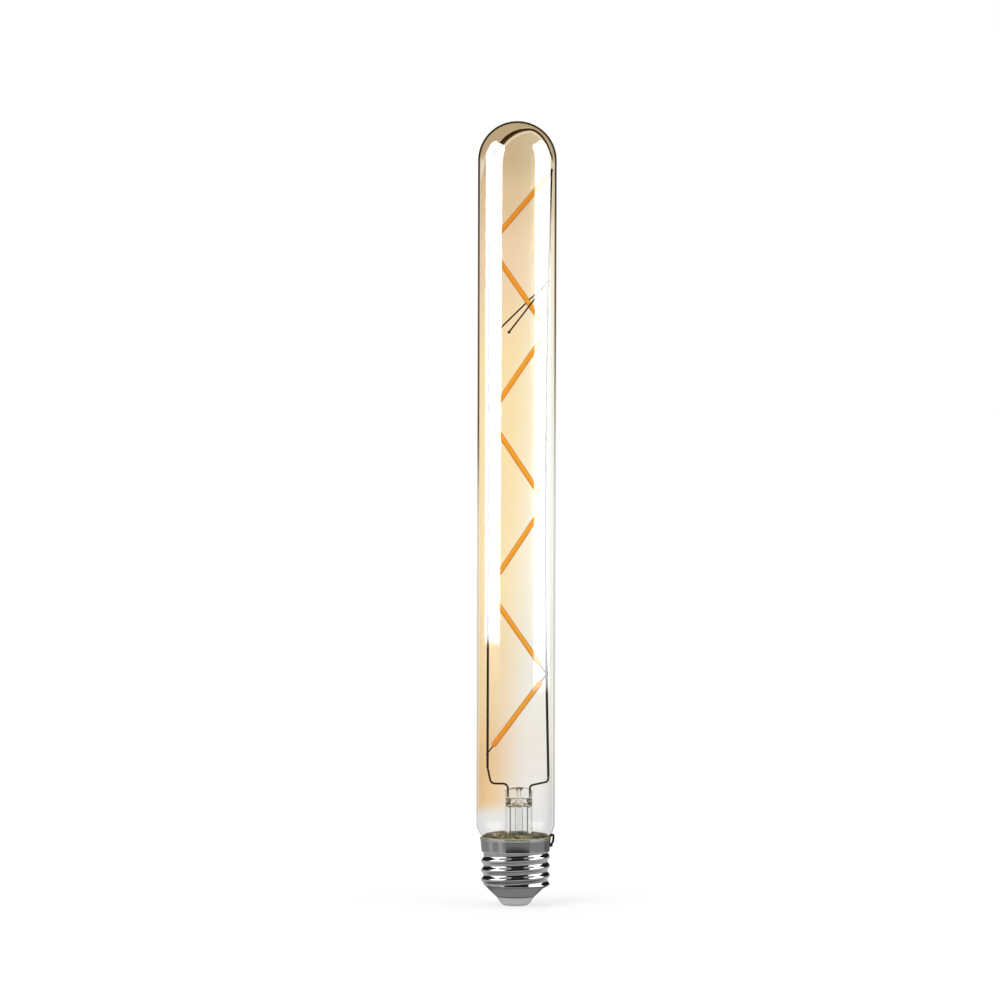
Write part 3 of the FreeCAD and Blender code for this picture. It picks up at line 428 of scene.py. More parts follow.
def makeDisc(name, disc, material):
    # a flat ring round the bulb's axis
    radii = np.linspace(*disc["radii"], disc["rings"])
    grid = turned(radii[:, None], disc["height"], studio["discAround"])
    showOnlyMirrored(surface(name, grid, material))


plumb = ((0, 0), (1, 0))
softBoxes = {
    # metal and glass are its glow in each, footShare and edgeShare what glass sees of it there
    "boxLeft": {
        "finish": "leftLight", "bearings": (-105, -41), "heights": (0.0625, 0.87),
        "metal": 2.2, "glass": 26.0, "footShare": 0.9, "edge": 105, "edgeShare": 1.0,
        "distance": 0.65, "corner": 8, "lean": ((0, -7.8), (0.3, -3.4), (0.4, -0.5), (1, 0))},
    "boxRight": {
        "finish": "rightLight", "bearings": (52, 114), "heights": (0.039, 0.87),
        "metal": 2.2, "glass": 22.0, "footShare": 0.40, "edge": 114, "edgeShare": 0.8,
        "distance": 0.65, "corner": 8, "lean": plumb},
}
boxFade = {
    "metalFoot": 0.12,               # what metal sees of a box at its foot
    "metalRise": (0.03, 0.28),       # heights over the foot between which it sees more and more
    "footRise": 0.035,               # height over which glass sees it weaker
    "footEdge": 0.006,               # height over which it fades in
    "edgeWidth": 12,                 # degrees
}


def boxGlow(box):
    # A soft box in metal and in polished glass, which mirrors it brighter. Metal sees it fade in
    # from its foot, and glass sees it weaker at its foot and towards one side edge.
    shades = newMaterial(box["finish"])
    z, turn = shades.along(2), shades.size(shades.bearing())
    foot, edge = box["heights"][0], box["edge"]
    low, high = boxFade["metalRise"]
    risen = shades.ease(z, foot + low, foot + high)
    metal = box["metal"] * (boxFade["metalFoot"] + (1 - boxFade["metalFoot"]) * risen)
    risen = shades.ease(z, foot, foot + boxFade["footRise"])
    low = box["footShare"] + (1 - box["footShare"]) * risen
    low = low * shades.ease(z, foot, foot + boxFade["footEdge"])
    side = 1 - (1 - box["edgeShare"]) * shades.ease(turn, edge - boxFade["edgeWidth"], edge)
    level = metal + shades.ray("Singular") * (box["glass"] * low * side - metal)
    return shades.finish(shades.shine(white, level))


walls = {
    # fade is where it goes black, and glassShare is what polished glass sees of it
    "wallBehind": {
        "finish": "paleWall", "bearings": (46, 322), "heights": (-0.5, 0.35), "glow": 0.6,
        "fade": (0.06, 0.28), "glassShare": 0.5, "distance": 1.6, "corner": 0, "lean": plumb},
    "wallFront": {
        "finish": "frontWall", "bearings": (-38, 46), "heights": (-0.5, 0.06), "glow": 0.5,
        "fade": (-0.01, 0.04), "glassShare": 0.3, "distance": 1.6, "corner": 0, "lean": plumb},
}


def wallGlow(wall):
    # a wall that fades to black between two heights, and that polished glass mirrors weaker
    shades = newMaterial(wall["finish"])
    fade = 1 - shades.ease(shades.along(2), *wall["fade"])
    strength = wall["glow"] * fade * (1 - (1 - wall["glassShare"]) * shades.ray("Singular"))
    return shades.finish(shades.shine(white, strength))


overhead = {
    "radii": (20, 620),              # millimetres, and so is the height
    "rings": 8,
    "height": 950.0,
    "front": (-30, 42, 8),           # bearings, and how softly they end
    "frontGlow": 0.03,
    "sideGlow": 0.35,
}


def overheadGlow():
    # the room over the bulb, for metal only
    shades = newMaterial("overhead")
    front = shades.within(shades.bearing(), *overhead["front"])
    level = overhead["sideGlow"] + front * (overhead["frontGlow"] - overhead["sideGlow"])
    return shades.finish(shades.shine(white, level * (1 - shades.ray("Singular"))))


tabletop = {
    "radii": (1, 600),               # millimetres, and so is the height
    "rings": 12,
    "height": -0.1,
    "reach": 0.6,
    "greys": ((0.018, 0.26), (0.027, 0.12), (0.033, 0.14), (0.045, 0.50), (0.12, 0.50),
              (0.155, 0.27), (0.30, 0.27), (0.40, 0.45)),    # by distance, in parts of the reach
    # sectors are bearings and how softly they end
    "paleSectors": ((-94, -81, 3), (-54, -44, 3)),
    "paleAway": (0.085, 0.15, 0.015),
    "paleGrey": 0.42,
    "darkSector": (114, 165, 14),
    "darkFrom": (0.09, 0.12),
    "darkShare": 0.5,
    "frontSector": (-28, 42, 9),
    "frontFrom": (0.068, 0.075),
    "frontShare": 0.96,
    "frontEnd": (0.084, 0.093),      # past this the front sector is less dark, by frontLoss
    "frontLoss": 0.74,
    "darkGrey": 0.01,
}


def tableGlow():
    # the table as gloss mirrors it: grey by distance, with two paler sectors on the left, a darker
    # one on the right, and one towards the camera that is nearly black at 0.08 m
    shades = newMaterial("tableTone")
    x, y, bearing = shades.along(0), shades.along(1), shades.bearing()
    away = (x * x + y * y) ** 0.5
    stops = [(place, grey(level)) for place, level in tabletop["greys"]]
    colour = shades.ramp(away * (1 / tabletop["reach"]), stops)
    for sector in tabletop["paleSectors"]:
        pale = shades.within(bearing, *sector) * shades.within(away, *tabletop["paleAway"])
        colour = shades.blend(pale, colour, grey(tabletop["paleGrey"]))
    shaded = (shades.within(bearing, *tabletop["darkSector"])
              * shades.ease(away, *tabletop["darkFrom"]) * tabletop["darkShare"])
    front = (shades.within(bearing, *tabletop["frontSector"])
             * shades.ease(away, *tabletop["frontFrom"]))
    loss = tabletop["frontLoss"] * shades.ease(away, *tabletop["frontEnd"])
    shaded = shaded + front * (tabletop["frontShare"] - loss)
    colour = shades.blend(shaded, colour, grey(tabletop["darkGrey"]))
    return shades.finish(shades.shine(colour, 1.0))


def makeStudio():
    bpy.context.scene.view_settings.view_transform = "Standard"
    makeCamera()
    makeSky()
    for name, (towards, strength, breadth) in studio["suns"].items():
        makeSun(name, towards, strength, breadth)
    makeFloor()
    for name, box in softBoxes.items():
        makeCard(name, box, boxGlow(box))
    makeDisc("cardOverhead", overhead, overheadGlow())
    for name, wall in walls.items():
        makeCard(name, wall, wallGlow(wall))
    makeDisc("cardTable", tabletop, tableGlow())
    print("studio set")


# Glass tube

envelope = {
    "radius": 15.0,
    "wall": 1.0,
    "domeHeight": 285.0,
    "shoulderHeight": 31.57,
    "shoulderBend": 7.0,
    "neckBend": 1.5,
    "neckRadius": 12.24,
    "neckFoot": 22.0,
    "around": 192,
    "rows": (40, 30, 14, 8),         # of points in the dome, the tube, the shoulder and the nape
    # how far out the inside of the dome is, in parts of an even wall's, by degrees from +X to +Z
    "crownInside": ((-30, 1.0), (0, 1.0), (11, 0.955), (22, 0.95), (36, 0.957), (51, 0.97),
                    (63, 0.968), (72, 0.925), (85, 0.855), (106, 0.765), (128, 0.70), (150, 0.67),
                    (165, 0.76), (180, 0.88), (210, 0.90)),
    "crownSmoothing": 9,             # degrees either way
    "crownReach": 8.0,               # below the dome, where the wall is even again
}


def envelopeProfile(inset):
    # one skin of the tube from the pole of its dome down to the neck: a quarter circle, the
    # straight tube, the shoulder's bend inwards, the neck's bend back, and the straight neck
    domeRows, tubeRows, shoulderRows, napeRows = envelope["rows"]
    dome, shoulder = envelope["domeHeight"], envelope["shoulderHeight"]
    radius, neck = envelope["radius"] - inset, envelope["neckRadius"] - inset
    bend, back = envelope["shoulderBend"] - inset, envelope["neckBend"] + inset
    lean = math.degrees(math.acos(1 - (radius - neck) / (bend + back)))
    heights = np.linspace(dome, shoulder, tubeRows + 2)[1:-1]
    bottom = shoulder - (bend + back) * math.sin(math.radians(lean))
    return np.concatenate([
        arc((0, dome), radius, 90, 0, domeRows),
        np.stack([np.full(tubeRows, radius), heights], axis=-1),
        arc((radius - bend, shoulder), bend, 0, -lean, shoulderRows),
        arc((neck + back, bottom), back, 180 - lean, 180, napeRows)[1:],
        [[neck, envelope["neckFoot"]]]])


def dentCrown(grid):
    # The inside of the dome is blown uneven. About the dome's centre and seen along Y, a point at
    # the angle a has its distance multiplied by s(a), a smoothed line through the values above.
    # Below the centre only the left side is moved, by 1 - (1 - s(180)) smooth(1 - depth / reach).
    degrees, shares = np.array(envelope["crownInside"]).T
    steps = np.arange(degrees[0], degrees[-1] + 1)
    reach = envelope["crownSmoothing"]
    window = np.hanning(2 * reach + 1)
    padded = np.pad(np.interp(steps, degrees, shares), reach, mode="edge")
    even = np.convolve(padded, window / window.sum(), mode="valid")
    point = grid / mm
    rise = point[..., 2] - envelope["domeHeight"]
    angle = np.degrees(np.arctan2(rise, point[..., 0]))
    above = np.interp(angle, steps, even)
    pull = 1 - np.interp(180, steps, even)
    below = 1 - pull * smooth(1 + rise / envelope["crownReach"]) * (point[..., 0] < 0)
    inDome = rise > 1e-6
    moved = point.copy()
    moved[..., 0] = point[..., 0] * np.where(inDome, above, below)
    moved[..., 2] = envelope["domeHeight"] + np.where(inDome, rise * above, rise)
    return moved * mm


def makeEnvelope():
    # both skins of the tube as one surface, closed round its foot. The second material is the
    # inside's, for faces that look towards the axis of the tube or the centre of its dome.
    outer, inner = envelopeProfile(0), envelopeProfile(envelope["wall"])
    count = envelope["around"]
    inside = dentCrown(turnedProfile(inner[::-1], count))
    grid = np.concatenate([turnedProfile(outer, count), inside])
    tube = surface("envelope", grid, tubeGlass(True), poles=(True, True), crease=50)
    tube.data.materials.append(tubeGlass(False))
    faces = tube.data.polygons
    outward = readPoints(faces, "center")
    outward[:, 2] = np.maximum(outward[:, 2] - envelope["domeHeight"] * mm, 0)
    inwards = np.einsum("ij,ij->i", outward, readPoints(faces, "normal")) < 0
    faces.foreach_set("material_index", inwards.astype(int))
    return onPart(tube, "glass_envelope")


glassLook = {
    "mirror": (0.035, 0.25),         # what the outside mirrors head on, and how much more edge on
    "innerMirror": (0.006, 0.15),
    "flaws": (70, 4, (1.6, 1.6, 0.35)),
    "clear": (0.898, 0.898, 0.893),  # tints of one wall, as light goes through it once
    "left": ((0.042, (0.915, 0.745, 0.525)), (0.056, (0.900, 0.742, 0.540)),
             (0.082, (0.945, 0.820, 0.625)), (0.130, (1.000, 0.890, 0.680)),
             (0.205, (1.000, 0.885, 0.660)), (0.248, (0.950, 0.812, 0.660)),
             (0.270, (0.880, 0.755, 0.585)), (0.288, (0.790, 0.680, 0.520))),
    "right": ((0.042, (0.925, 0.905, 0.885)), (0.060, (0.930, 0.905, 0.865)),
              (0.090, (0.945, 0.940, 0.900)), (0.140, (1.000, 1.000, 0.960)),
              (0.195, (1.000, 1.000, 0.935)), (0.235, (1.000, 0.980, 0.880)),
              (0.252, (1.000, 0.945, 0.800)), (0.270, (0.900, 0.840, 0.690)),
              (0.288, (0.830, 0.770, 0.625))),
    "border": (-0.004, 0.010),       # x between left and right, and how far it moves up the tube
    "borderRise": (0.03, 0.20),
    "borderFlaws": 0.004,
    "borderSoft": 0.0095,
    "coatFoot": 0.0365,              # height of the coating's lower edge at the left, in metres
    "coatLeft": -0.013,
    "coatSlope": 0.12,
    "coatFlaws": 0.006,
    "coatFade": (-0.003, 0.004),
}


def coating(shades, x, z, flaws):
    # the coating's tint: clear at the neck, pale amber up the tube and smoky in the dome. Across
    # the tube the tint is deeper on the left than on the right.
    edge = z - glassLook["coatFoot"] - glassLook["coatSlope"] * (x - glassLook["coatLeft"])
    coat = shades.ease(edge + flaws * glassLook["coatFlaws"], *glassLook["coatFade"])
    start, shift = glassLook["border"]
    border = shift * shades.ease(z, *glassLook["borderRise"]) + start
    soft = glassLook["borderSoft"]
    side = shades.ease(x + flaws * glassLook["borderFlaws"] - border, -soft, soft)
    left, right = shades.films(z, glassLook["left"]), shades.films(z, glassLook["right"])
    return shades.mixed(coat, shades.clear(glassLook["clear"]), shades.mixed(side, left, right))


crownLook = {
    "heights": (0.2835, 0.2875),     # where its marks fade in
    "sides": (-0.005, 0.007),        # x over which the left side's marks turn into the right's
    # the outside, where the view passes through the thick crown
    "thick": (0.515, 0.387, 0.222),
    "thickStart": (0.22, 0.33),      # how edge on it starts: on the left, and how much more right
    "thickFarLeft": (0.24, 0.006, 0.014),    # how much more there, and -x between which it is
    "thickFade": (-0.03, 0.05),
    # the inside: a painted highlight next to a painted dark edge, where it turns away
    "edgeStart": (0.56, 0.10),
    "light": (1.000, 0.970, 0.900),
    "highlightBand": (-0.11, -0.05, 0.03),
    "edge": (0.070, 0.036, 0.010),
    "edgeFade": (-0.02, 0.04),
}


def outerCrown(shades, film, facing, x, z):
    # the outside's tint over the thick crown
    least, more = crownLook["thickStart"]
    farMore, near, far = crownLook["thickFarLeft"]
    start = (least + more * shades.ease(x, *crownLook["sides"])
             + farMore * shades.ease(x * -1, near, far))
    thick = shades.ease(facing - start, *crownLook["thickFade"])
    thick = thick * shades.ease(z, *crownLook["heights"])
    return shades.mixed(thick, film, shades.clear(crownLook["thick"]))


def innerCrown(shades, film, facing, x, z):
    # the painted highlight and the painted dark edge where the crown's inside turns away
    least, more = crownLook["edgeStart"]
    crown = shades.ease(z, *crownLook["heights"])
    past = facing - (least + more * shades.ease(x, *crownLook["sides"]))
    light = shades.within(past, *crownLook["highlightBand"]) * crown
    film = shades.mixed(light, film, shades.clear(crownLook["light"]))
    dark = shades.ease(past, *crownLook["edgeFade"]) * crown
    return shades.mixed(dark, film, shades.clear(crownLook["edge"]))


rimLook = {
    # painted shade: the dark rim of a wall seen edge on
    "facing": (0.64, 0.74),          # how edge on the wall is where its dark rim starts and is full
    "tints": ((0.235, (0.14, 0.075, 0.02)), (0.282, (0.03, 0.014, 0.003))),
    "sides": (-0.01, 0.01),
    "foot": 0.142,                   # the rim is weak up to here, and full by rise over it:
    "rise": (0.043, 0.055),          # on the left, and how much more on the right
    "weak": (0.72, 0.08),            # what it lacks on the left, and how much less on the right
    "mirrorLoss": 0.85,
}


def paintedRimShade(shades, facing, x, z):
    # how much painted shade there is at a point: the dark rim of a wall seen edge on
    right = shades.ease(x, *rimLook["sides"])
    rise, more = rimLook["rise"]
    low = 1 - shades.ease((z - rimLook["foot"]) / (rise + more * right), 0.0, 1.0)
    weak, less = rimLook["weak"]
    return shades.ease(facing, *rimLook["facing"]) * (1 - low * (weak - less * right))


neckLook = {
    # painted shade: both walls are darker towards the sides of the neck
    "facing": (0.25, 0.6),
    "heights": (0.045, 0.066),
    "sides": (-0.005, 0.010),
    "dark": (0.03, 0.05),            # on the left, and how much more on the right
}


def paintedNeckShade(shades, film, facing, x, z):
    # a film with painted shade, slightly darker at the sides of the neck
    least, more = neckLook["dark"]
    dark = shades.ease(facing, *neckLook["facing"]) * (1 - shades.ease(z, *neckLook["heights"]))
    dark = dark * (least + more * shades.ease(x, *neckLook["sides"]))
    return shades.mixed(dark, film, shades.clear(grey(0.0)))


bedLook = {
    # the cement that shows through the glass where it is bedded, higher round the back
    "top": 0.0261,
    "backRise": 0.054,               # half of its slope towards the back
    "flaws": 0.0012,
    "soft": 0.00025,
    "redTint": (0.42, 0.17, 0.12),     # reddish, on the left near the top
    "redTintShare": 0.8,
    "redTintSides": (-0.0095, -0.0050, 0.0012),
    "redTintBelowTop": (-0.0006, -0.0003),
}


def beddedNeck(shades, glass, x, z, flaws):
    # the outside of the neck with cement where it is bedded
    y = shades.along(1)
    top = bedLook["top"] + bedLook["backRise"] * (y + shades.size(y)) - flaws * bedLook["flaws"]
    bedded = 1 - shades.ease(z - top, -bedLook["soft"], bedLook["soft"])
    redTint = (shades.within(x, *bedLook["redTintSides"])
             * shades.ease(z - top, *bedLook["redTintBelowTop"]) * bedLook["redTintShare"])
    colour, grain = cementColours(shades)
    colour = shades.blend(redTint, colour, bedLook["redTint"])
    return shades.mixed(bedded, glass, cementBehindGlass(shades, colour, grain))


def tubeGlass(outer):
    # A stack of tinted films with a mirror on top. Only faces that meet the light from outside
    # the wall tint and mirror, so each wall counts once, and neither wall casts a shadow.
    shades = newMaterial("amberGlassOuter" if outer else "amberGlassInner")
    x, z, facing = shades.along(0), shades.along(2), shades.facing()
    flaws = shades.noise(*glassLook["flaws"]) - 0.5
    film = coating(shades, x, z, flaws)
    least, more = glassLook["mirror" if outer else "innerMirror"]
    share = least + more * (facing ** 5.0)
    if outer:
        film = outerCrown(shades, film, facing, x, z)
        # painted shade at the rim of a wall seen edge on, which mirrors less there
        rim = paintedRimShade(shades, facing, x, z)
        film = shades.mixed(rim, film, shades.films(z, rimLook["tints"]))
        share = share * (1 - rimLook["mirrorLoss"] * rim)
    else:
        film = innerCrown(shades, film, facing, x, z)
    film = paintedNeckShade(shades, film, facing, x, z)
    wall = shades.mixed(share, film, shades.mirror(0.0))
    inside = shades.add("NewGeometry").outputs["Backfacing"]
    glass = shades.mixed(inside, wall, shades.clear(white))
    glass = shades.mixed(shades.ray("Shadow"), glass, shades.clear(white))
    if outer:
        glass = beddedNeck(shades, glass, x, z, flaws)
    return shades.finish(glass)


# Screw cap

screwCap = {
    "wall": 0.25,
    "lip": (7.7, 3.65),              # radius and height
    "root": 12.25,
    "threadFoot": 8.0,
    "depth": 0.95,
    "pitch": 3.629,
    "threadTop": 19.6,
    "runIn": 0.55,                   # turns over which the ridge grows at either end
    "innerRidge": 0.9,               # how much of the ridge the inside follows
    "collarFoot": 20.5,
    "collarStep": 0.25,              # half the height over which the shell widens to the collar
    "collarRadius": 13.0,
    "flareFoot": (13.466, 25.2),     # where the collar turns out to its rim
    "rimRadius": 13.64,
    "rimHeight": 26.0,
    "around": 224,
    "rows": (22, 118, 9, 16, 7),     # of points in the cone, thread, step, collar and rolled rim
    "dark": (0.60, 0.60, 0.61),
    "light": (0.78, 0.78, 0.79),
    "roughness": 0.05,
    "marks": 0.04,                   # how much rougher the drawing marks are, and the bloom
    "bloom": 0.04,
}


def threadRidge(height, angle):
    # Height of the rolled ridge over the root. Turn t of the nearest crest is the angle in turns
    # plus a whole number, its distance in pitches is d, and the ridge is (1 + cos 2 pi d) / 2,
    # so that crest and root are as round as each other.
    turns = angle / (2 * np.pi)
    offset = (height - screwCap["threadFoot"]) / screwCap["pitch"] - turns
    whole = np.round(offset)
    ridge = (1 + np.cos(2 * np.pi * (offset - whole))) / 2
    turn = turns + whole
    last = (screwCap["threadTop"] - screwCap["threadFoot"]) / screwCap["pitch"]
    grown = smooth((turn + screwCap["runIn"]) / screwCap["runIn"])
    ended = smooth((last + screwCap["runIn"] / 2 - turn) / screwCap["runIn"])
    return screwCap["depth"] * ridge * grown * ended


def makeCap():
    # The shell's skin is a profile of heights and radii: the cone, the thread's root, a smooth
    # step and the collar with its flare. The ridge is added to the radius at each angle. Over a
    # half circle at the rim the skin turns back and follows every other row down inside.
    lipRadius, lipHeight = screwCap["lip"]
    flareRadius, flareHeight = screwCap["flareFoot"]
    coneRows, threadRows, stepRows, collarRows, rollRows = screwCap["rows"]
    wall, root, foot = screwCap["wall"], screwCap["root"], screwCap["threadFoot"]
    collar, rim = screwCap["collarRadius"], screwCap["rimRadius"]
    rolledAt = (rim - wall / 2, screwCap["rimHeight"] - wall / 2)
    stepFoot = screwCap["collarFoot"] - screwCap["collarStep"]
    stepTop = screwCap["collarFoot"] + screwCap["collarStep"]
    cone, step = np.linspace(0, 1, coneRows), np.linspace(0, 1, stepRows)
    threadHeights = np.linspace(foot, stepFoot, threadRows)[1:]
    collarHeights = np.linspace(stepTop, rolledAt[1], collarRows)[1:]
    heights = np.concatenate([lipHeight + (foot - lipHeight) * cone, threadHeights,
                              (stepFoot + (stepTop - stepFoot) * step)[1:], collarHeights])
    radii = np.concatenate([
        lipRadius + (root - lipRadius) * cone,
        np.full(len(threadHeights), root),
        (root + (collar - root) * smooth(step))[1:],
        np.interp(collarHeights, [stepTop, flareHeight, rolledAt[1]], [collar, flareRadius, rim])])
    count = screwCap["around"]
    ridge = threadRidge(heights[:, None], around(count)[None, :])
    rolled = arc(rolledAt, wall / 2, 0, 180, rollRows)[1:-1]
    inner = (radii[:, None] - wall + ridge * screwCap["innerRidge"])[::-2]
    radius = np.concatenate([radii[:, None] + ridge, np.repeat(rolled[:, :1], count, axis=1), inner])
    height = np.concatenate([heights, rolled[:, 1], heights[::-2]])[:, None]
    grid = turned(radius, height, count)
    cap = surface("threadedCap", grid, plating(), wrapRows=True, crease=60)
    return onPart(cap, "cap_shell")


def plating():
    # bright nickel with drawing marks round the shell and a faint bloom of handling
    shades = newMaterial("brightNickel")
    marks = shades.noise(900, 2, (0.02, 0.02, 1.0))
    bloom = shades.noise(160, 4)
    hazy = screwCap["bloom"] * shades.ease(bloom, 0.5, 0.75)
    return shades.finish(shades.principled({
        "Base Color": shades.blend(bloom, screwCap["dark"], screwCap["light"]),
        "Metallic": 1.0,
        "Roughness": screwCap["roughness"] + screwCap["marks"] * marks + hazy,
        "Normal": shades.bump(marks, 0.000006, 0.35)}))


# Filaments

filament = {
    "radius": 1.0,
    "length": 31.0,
    "rounding": 0.7,                 # length over which each end is rounded
    "endSize": 0.35,                 # the radius where the rounding starts, in parts of the whole
    "around": 28,
    "rows": (9, 90),                 # of points over each rounded end, and over the rest
    "waves": (0.012, 1.9, 0.01, 0.7, 3),    # size and pace of each, and the second's twist
    "oval": (0.04, 0.022),           # how much flatter it is at front and back, and thinner all round
    "chips": 26,
    "between": (0.90, 0.34, 0.022),  # colours between the chips and over them
    "overChips": (0.97, 0.43, 0.045),
    # painted shade at the left and right edges
    "sides": (0.44, 0.22, 0.022),
    "sidesFrom": (0.55, 0.92),
    "sidesShare": 0.85,
    "specks": (0.97, 0.52, 0.10),
    "specksFrom": (0.62, 0.8),
    "specksShare": 0.3,
    "paintedGlowColour": (1.0, 0.48, 0.05),
    "glow": 0.12,                    # painted glow: how much the unlit phosphor shines
}


def makeFilament(number, finish):
    # The coating follows the straight line of its CAD solid. Its radius grows from each end as
    # e + (1 - e) sqrt(1 - (1 - s / rounding) squared), where e is endSize and s the distance from
    # the end. It is oval by cos 2a, and two slow waves make it uneven: sin(pace * place + number)
    # and sin(pace * place + twist * a).
    points = readPoints(nodes[f"filament_{number}"].data.vertices, "co")
    middle = (points.max(axis=0) + points.min(axis=0)) / 2
    axis = np.linalg.svd(points - points.mean(axis=0), full_matrices=False)[2][0]
    axis = axis * np.sign(axis[2])
    side = np.array([0.0, -1.0, 0.0])
    across = np.cross(axis, side)
    half = filament["length"] / 2
    rounding, endSize = filament["rounding"], filament["endSize"]
    endRows, midRows = filament["rows"]
    ends = rounding * (1 - np.cos(np.linspace(0, np.pi / 2, endRows)))
    straight = np.linspace(-half + rounding, half - rounding, midRows)[1:-1]
    places = np.concatenate([-half + ends, straight, (half - ends)[::-1]])[:, None]
    fromEnd = np.clip((half - np.abs(places)) / rounding, 0, 1)
    swell = endSize + (1 - endSize) * np.sqrt(1 - (1 - fromEnd) ** 2)
    swell[0] = swell[-1] = 0
    angle = around(filament["around"])
    first, firstPace, second, secondPace, twist = filament["waves"]
    wave = (first * np.sin(places * firstPace + number)
            + second * np.sin(places * secondPace + twist * angle))
    flatter, thinner = filament["oval"]
    reach = filament["radius"] * swell * (1 - flatter * np.cos(2 * angle) - thinner + wave)
    ring = side * np.cos(angle)[:, None] + across * np.sin(angle)[:, None]
    spine = middle + axis * places[:, :, None] * mm
    grid = spine + reach[:, :, None] * ring * mm
    uv = np.stack(np.broadcast_arrays(angle / (2 * np.pi), (places + half) / (2 * half)), axis=-1)
    piece = surface(f"coatedStrip{number}", grid, finish, poles=(True, True), uv=uv)
    return onPart(piece, f"filament_{number}")


def phosphor():
    # orange silicone full of phosphor, a little deeper between the chips, with painted shade that
    # makes it olive at its left and right edges as seen from the front, and a faint painted glow
    shades = newMaterial("orangePhosphor")
    parts = shades.add("SeparateXYZ", {}, {0: shades.add("UVMap").outputs[0]})
    turn, along = Tone(shades, parts.outputs[0]), Tone(shades, parts.outputs[1])
    chips = shades.maths("SINE", along * (2 * math.pi * filament["chips"])) * 0.5 + 0.5
    across = shades.maths("SINE", turn * (2 * math.pi))
    mottle = shades.noise(1500, 4)
    clouds = shades.noise(260, 2)
    base = shades.blend(chips * 0.5 + clouds * 0.5, filament["between"], filament["overChips"])
    # painted shade towards the left and right edges
    side = shades.ease(shades.size(across) + (clouds - 0.5) * 0.2, *filament["sidesFrom"])
    base = shades.blend(side * filament["sidesShare"], base, filament["sides"])
    speck = shades.ease(mottle, *filament["specksFrom"]) * filament["specksShare"]
    colour = shades.blend(speck, base, filament["specks"])
    return shades.finish(shades.principled({
        "Base Color": colour,
        "Roughness": 0.5 + 0.15 * clouds,
        "Normal": shades.bump(mottle + clouds, 0.00006, 0.5),
        "Subsurface Weight": 0.1,
        "Subsurface Scale": 0.0005,
        "Specular IOR Level": 0.3,
        "Emission Color": filament["paintedGlowColour"],
        "Emission Strength": filament["glow"]}))


# Glass mount

stemLook = {
    "axis": 0.00125,                 # x of the stem's axis
    "clear": (0.98, 0.985, 0.97),
    "edge": (0.24, 0.21, 0.18),      # painted shade: tint where the outside is seen edge on
    "edgeFacing": (0.80, 0.98),
    "edgeFrom": (0.0020, 0.0026),    # distance from the axis
    # dark bands over the pinch and under it: from, to and how softly they end
    "bandColour": (0.10, 0.08, 0.05),
    "bandTop": (0.0447, 0.0453, 0.0004),
    "bandTopSides": (-0.0022, 0.0024, 0.0008),
    "bandFoot": (0.0381, 0.0386, 0.0003),
    "bandFootShare": 0.7,
    "shadow": (0.92, 0.93, 0.91),
    "sealedTop": (0.0272, 0.0277),
    "sealedShare": 0.85,
}


def stemGlass():
    # Smooth clear glass that bends light, and lets lamps through to the wires in it. It has dark
    # bands over the pinch and under it, painted shade where its outside is seen edge on, and cement
    # shows in it round its foot.
    shades = newMaterial("clearGlass")
    seeds = shades.noise(400, 3)
    x, z = shades.along(0), shades.along(2)
    outside = shades.ease(shades.size(x - stemLook["axis"]), *stemLook["edgeFrom"])
    edgeShade = shades.ease(shades.facing(), *stemLook["edgeFacing"]) * outside
    colour = shades.blend(edgeShade, stemLook["clear"], stemLook["edge"])
    top = shades.within(z, *stemLook["bandTop"]) * shades.within(x, *stemLook["bandTopSides"])
    foot = shades.within(z, *stemLook["bandFoot"]) * stemLook["bandFootShare"]
    banded = shades.ease(seeds, 0.38, 0.52) * top + foot
    glass = shades.principled({
        "Base Color": shades.blend(banded, colour, stemLook["bandColour"]),
        "Roughness": 0.02,
        "IOR": 1.5,
        "Transmission Weight": 1.0,
        "Normal": shades.bump(seeds, 0.00004, 0.25)})
    glass = shades.mixed(shades.ray("Shadow"), glass, shades.clear(stemLook["shadow"]))
    sealed = (1 - shades.ease(z, *stemLook["sealedTop"])) * stemLook["sealedShare"]
    bed = cementBehindGlass(shades, *cementColours(shades))
    return shades.finish(shades.mixed(sealed, glass, bed))


exhaustLook = {
    "clear": (0.985, 0.99, 0.98),
    # painted shade where the outside is seen edge on
    "edge": (0.34, 0.33, 0.29),
    "edgeFacing": (0.35, 0.75),
    "edgeFrom": (0.0011, 0.0013),    # distance from the axis, which is the stem's
    "flaws": 0.15,
    "mirror": 0.03,
    "roughness": 0.03,
}


def thinGlass():
    # the exhaust tube: films that are clear face on, and painted grey shade where the outside is
    # seen edge on
    shades = newMaterial("thinGlass")
    x, y = shades.along(0) - stemLook["axis"], shades.along(1)
    seeds = shades.noise(500, 3) - 0.5
    outside = shades.ease((x * x + y * y) ** 0.5, *exhaustLook["edgeFrom"])
    uneven = shades.facing() + seeds * exhaustLook["flaws"]
    edge = shades.ease(uneven, *exhaustLook["edgeFacing"]) * outside
    film = shades.mixed(edge, shades.clear(exhaustLook["clear"]), shades.clear(exhaustLook["edge"]))
    gloss = shades.mirror(exhaustLook["roughness"])
    return shades.finish(shades.mixed(exhaustLook["mirror"], film, gloss))


# Cement

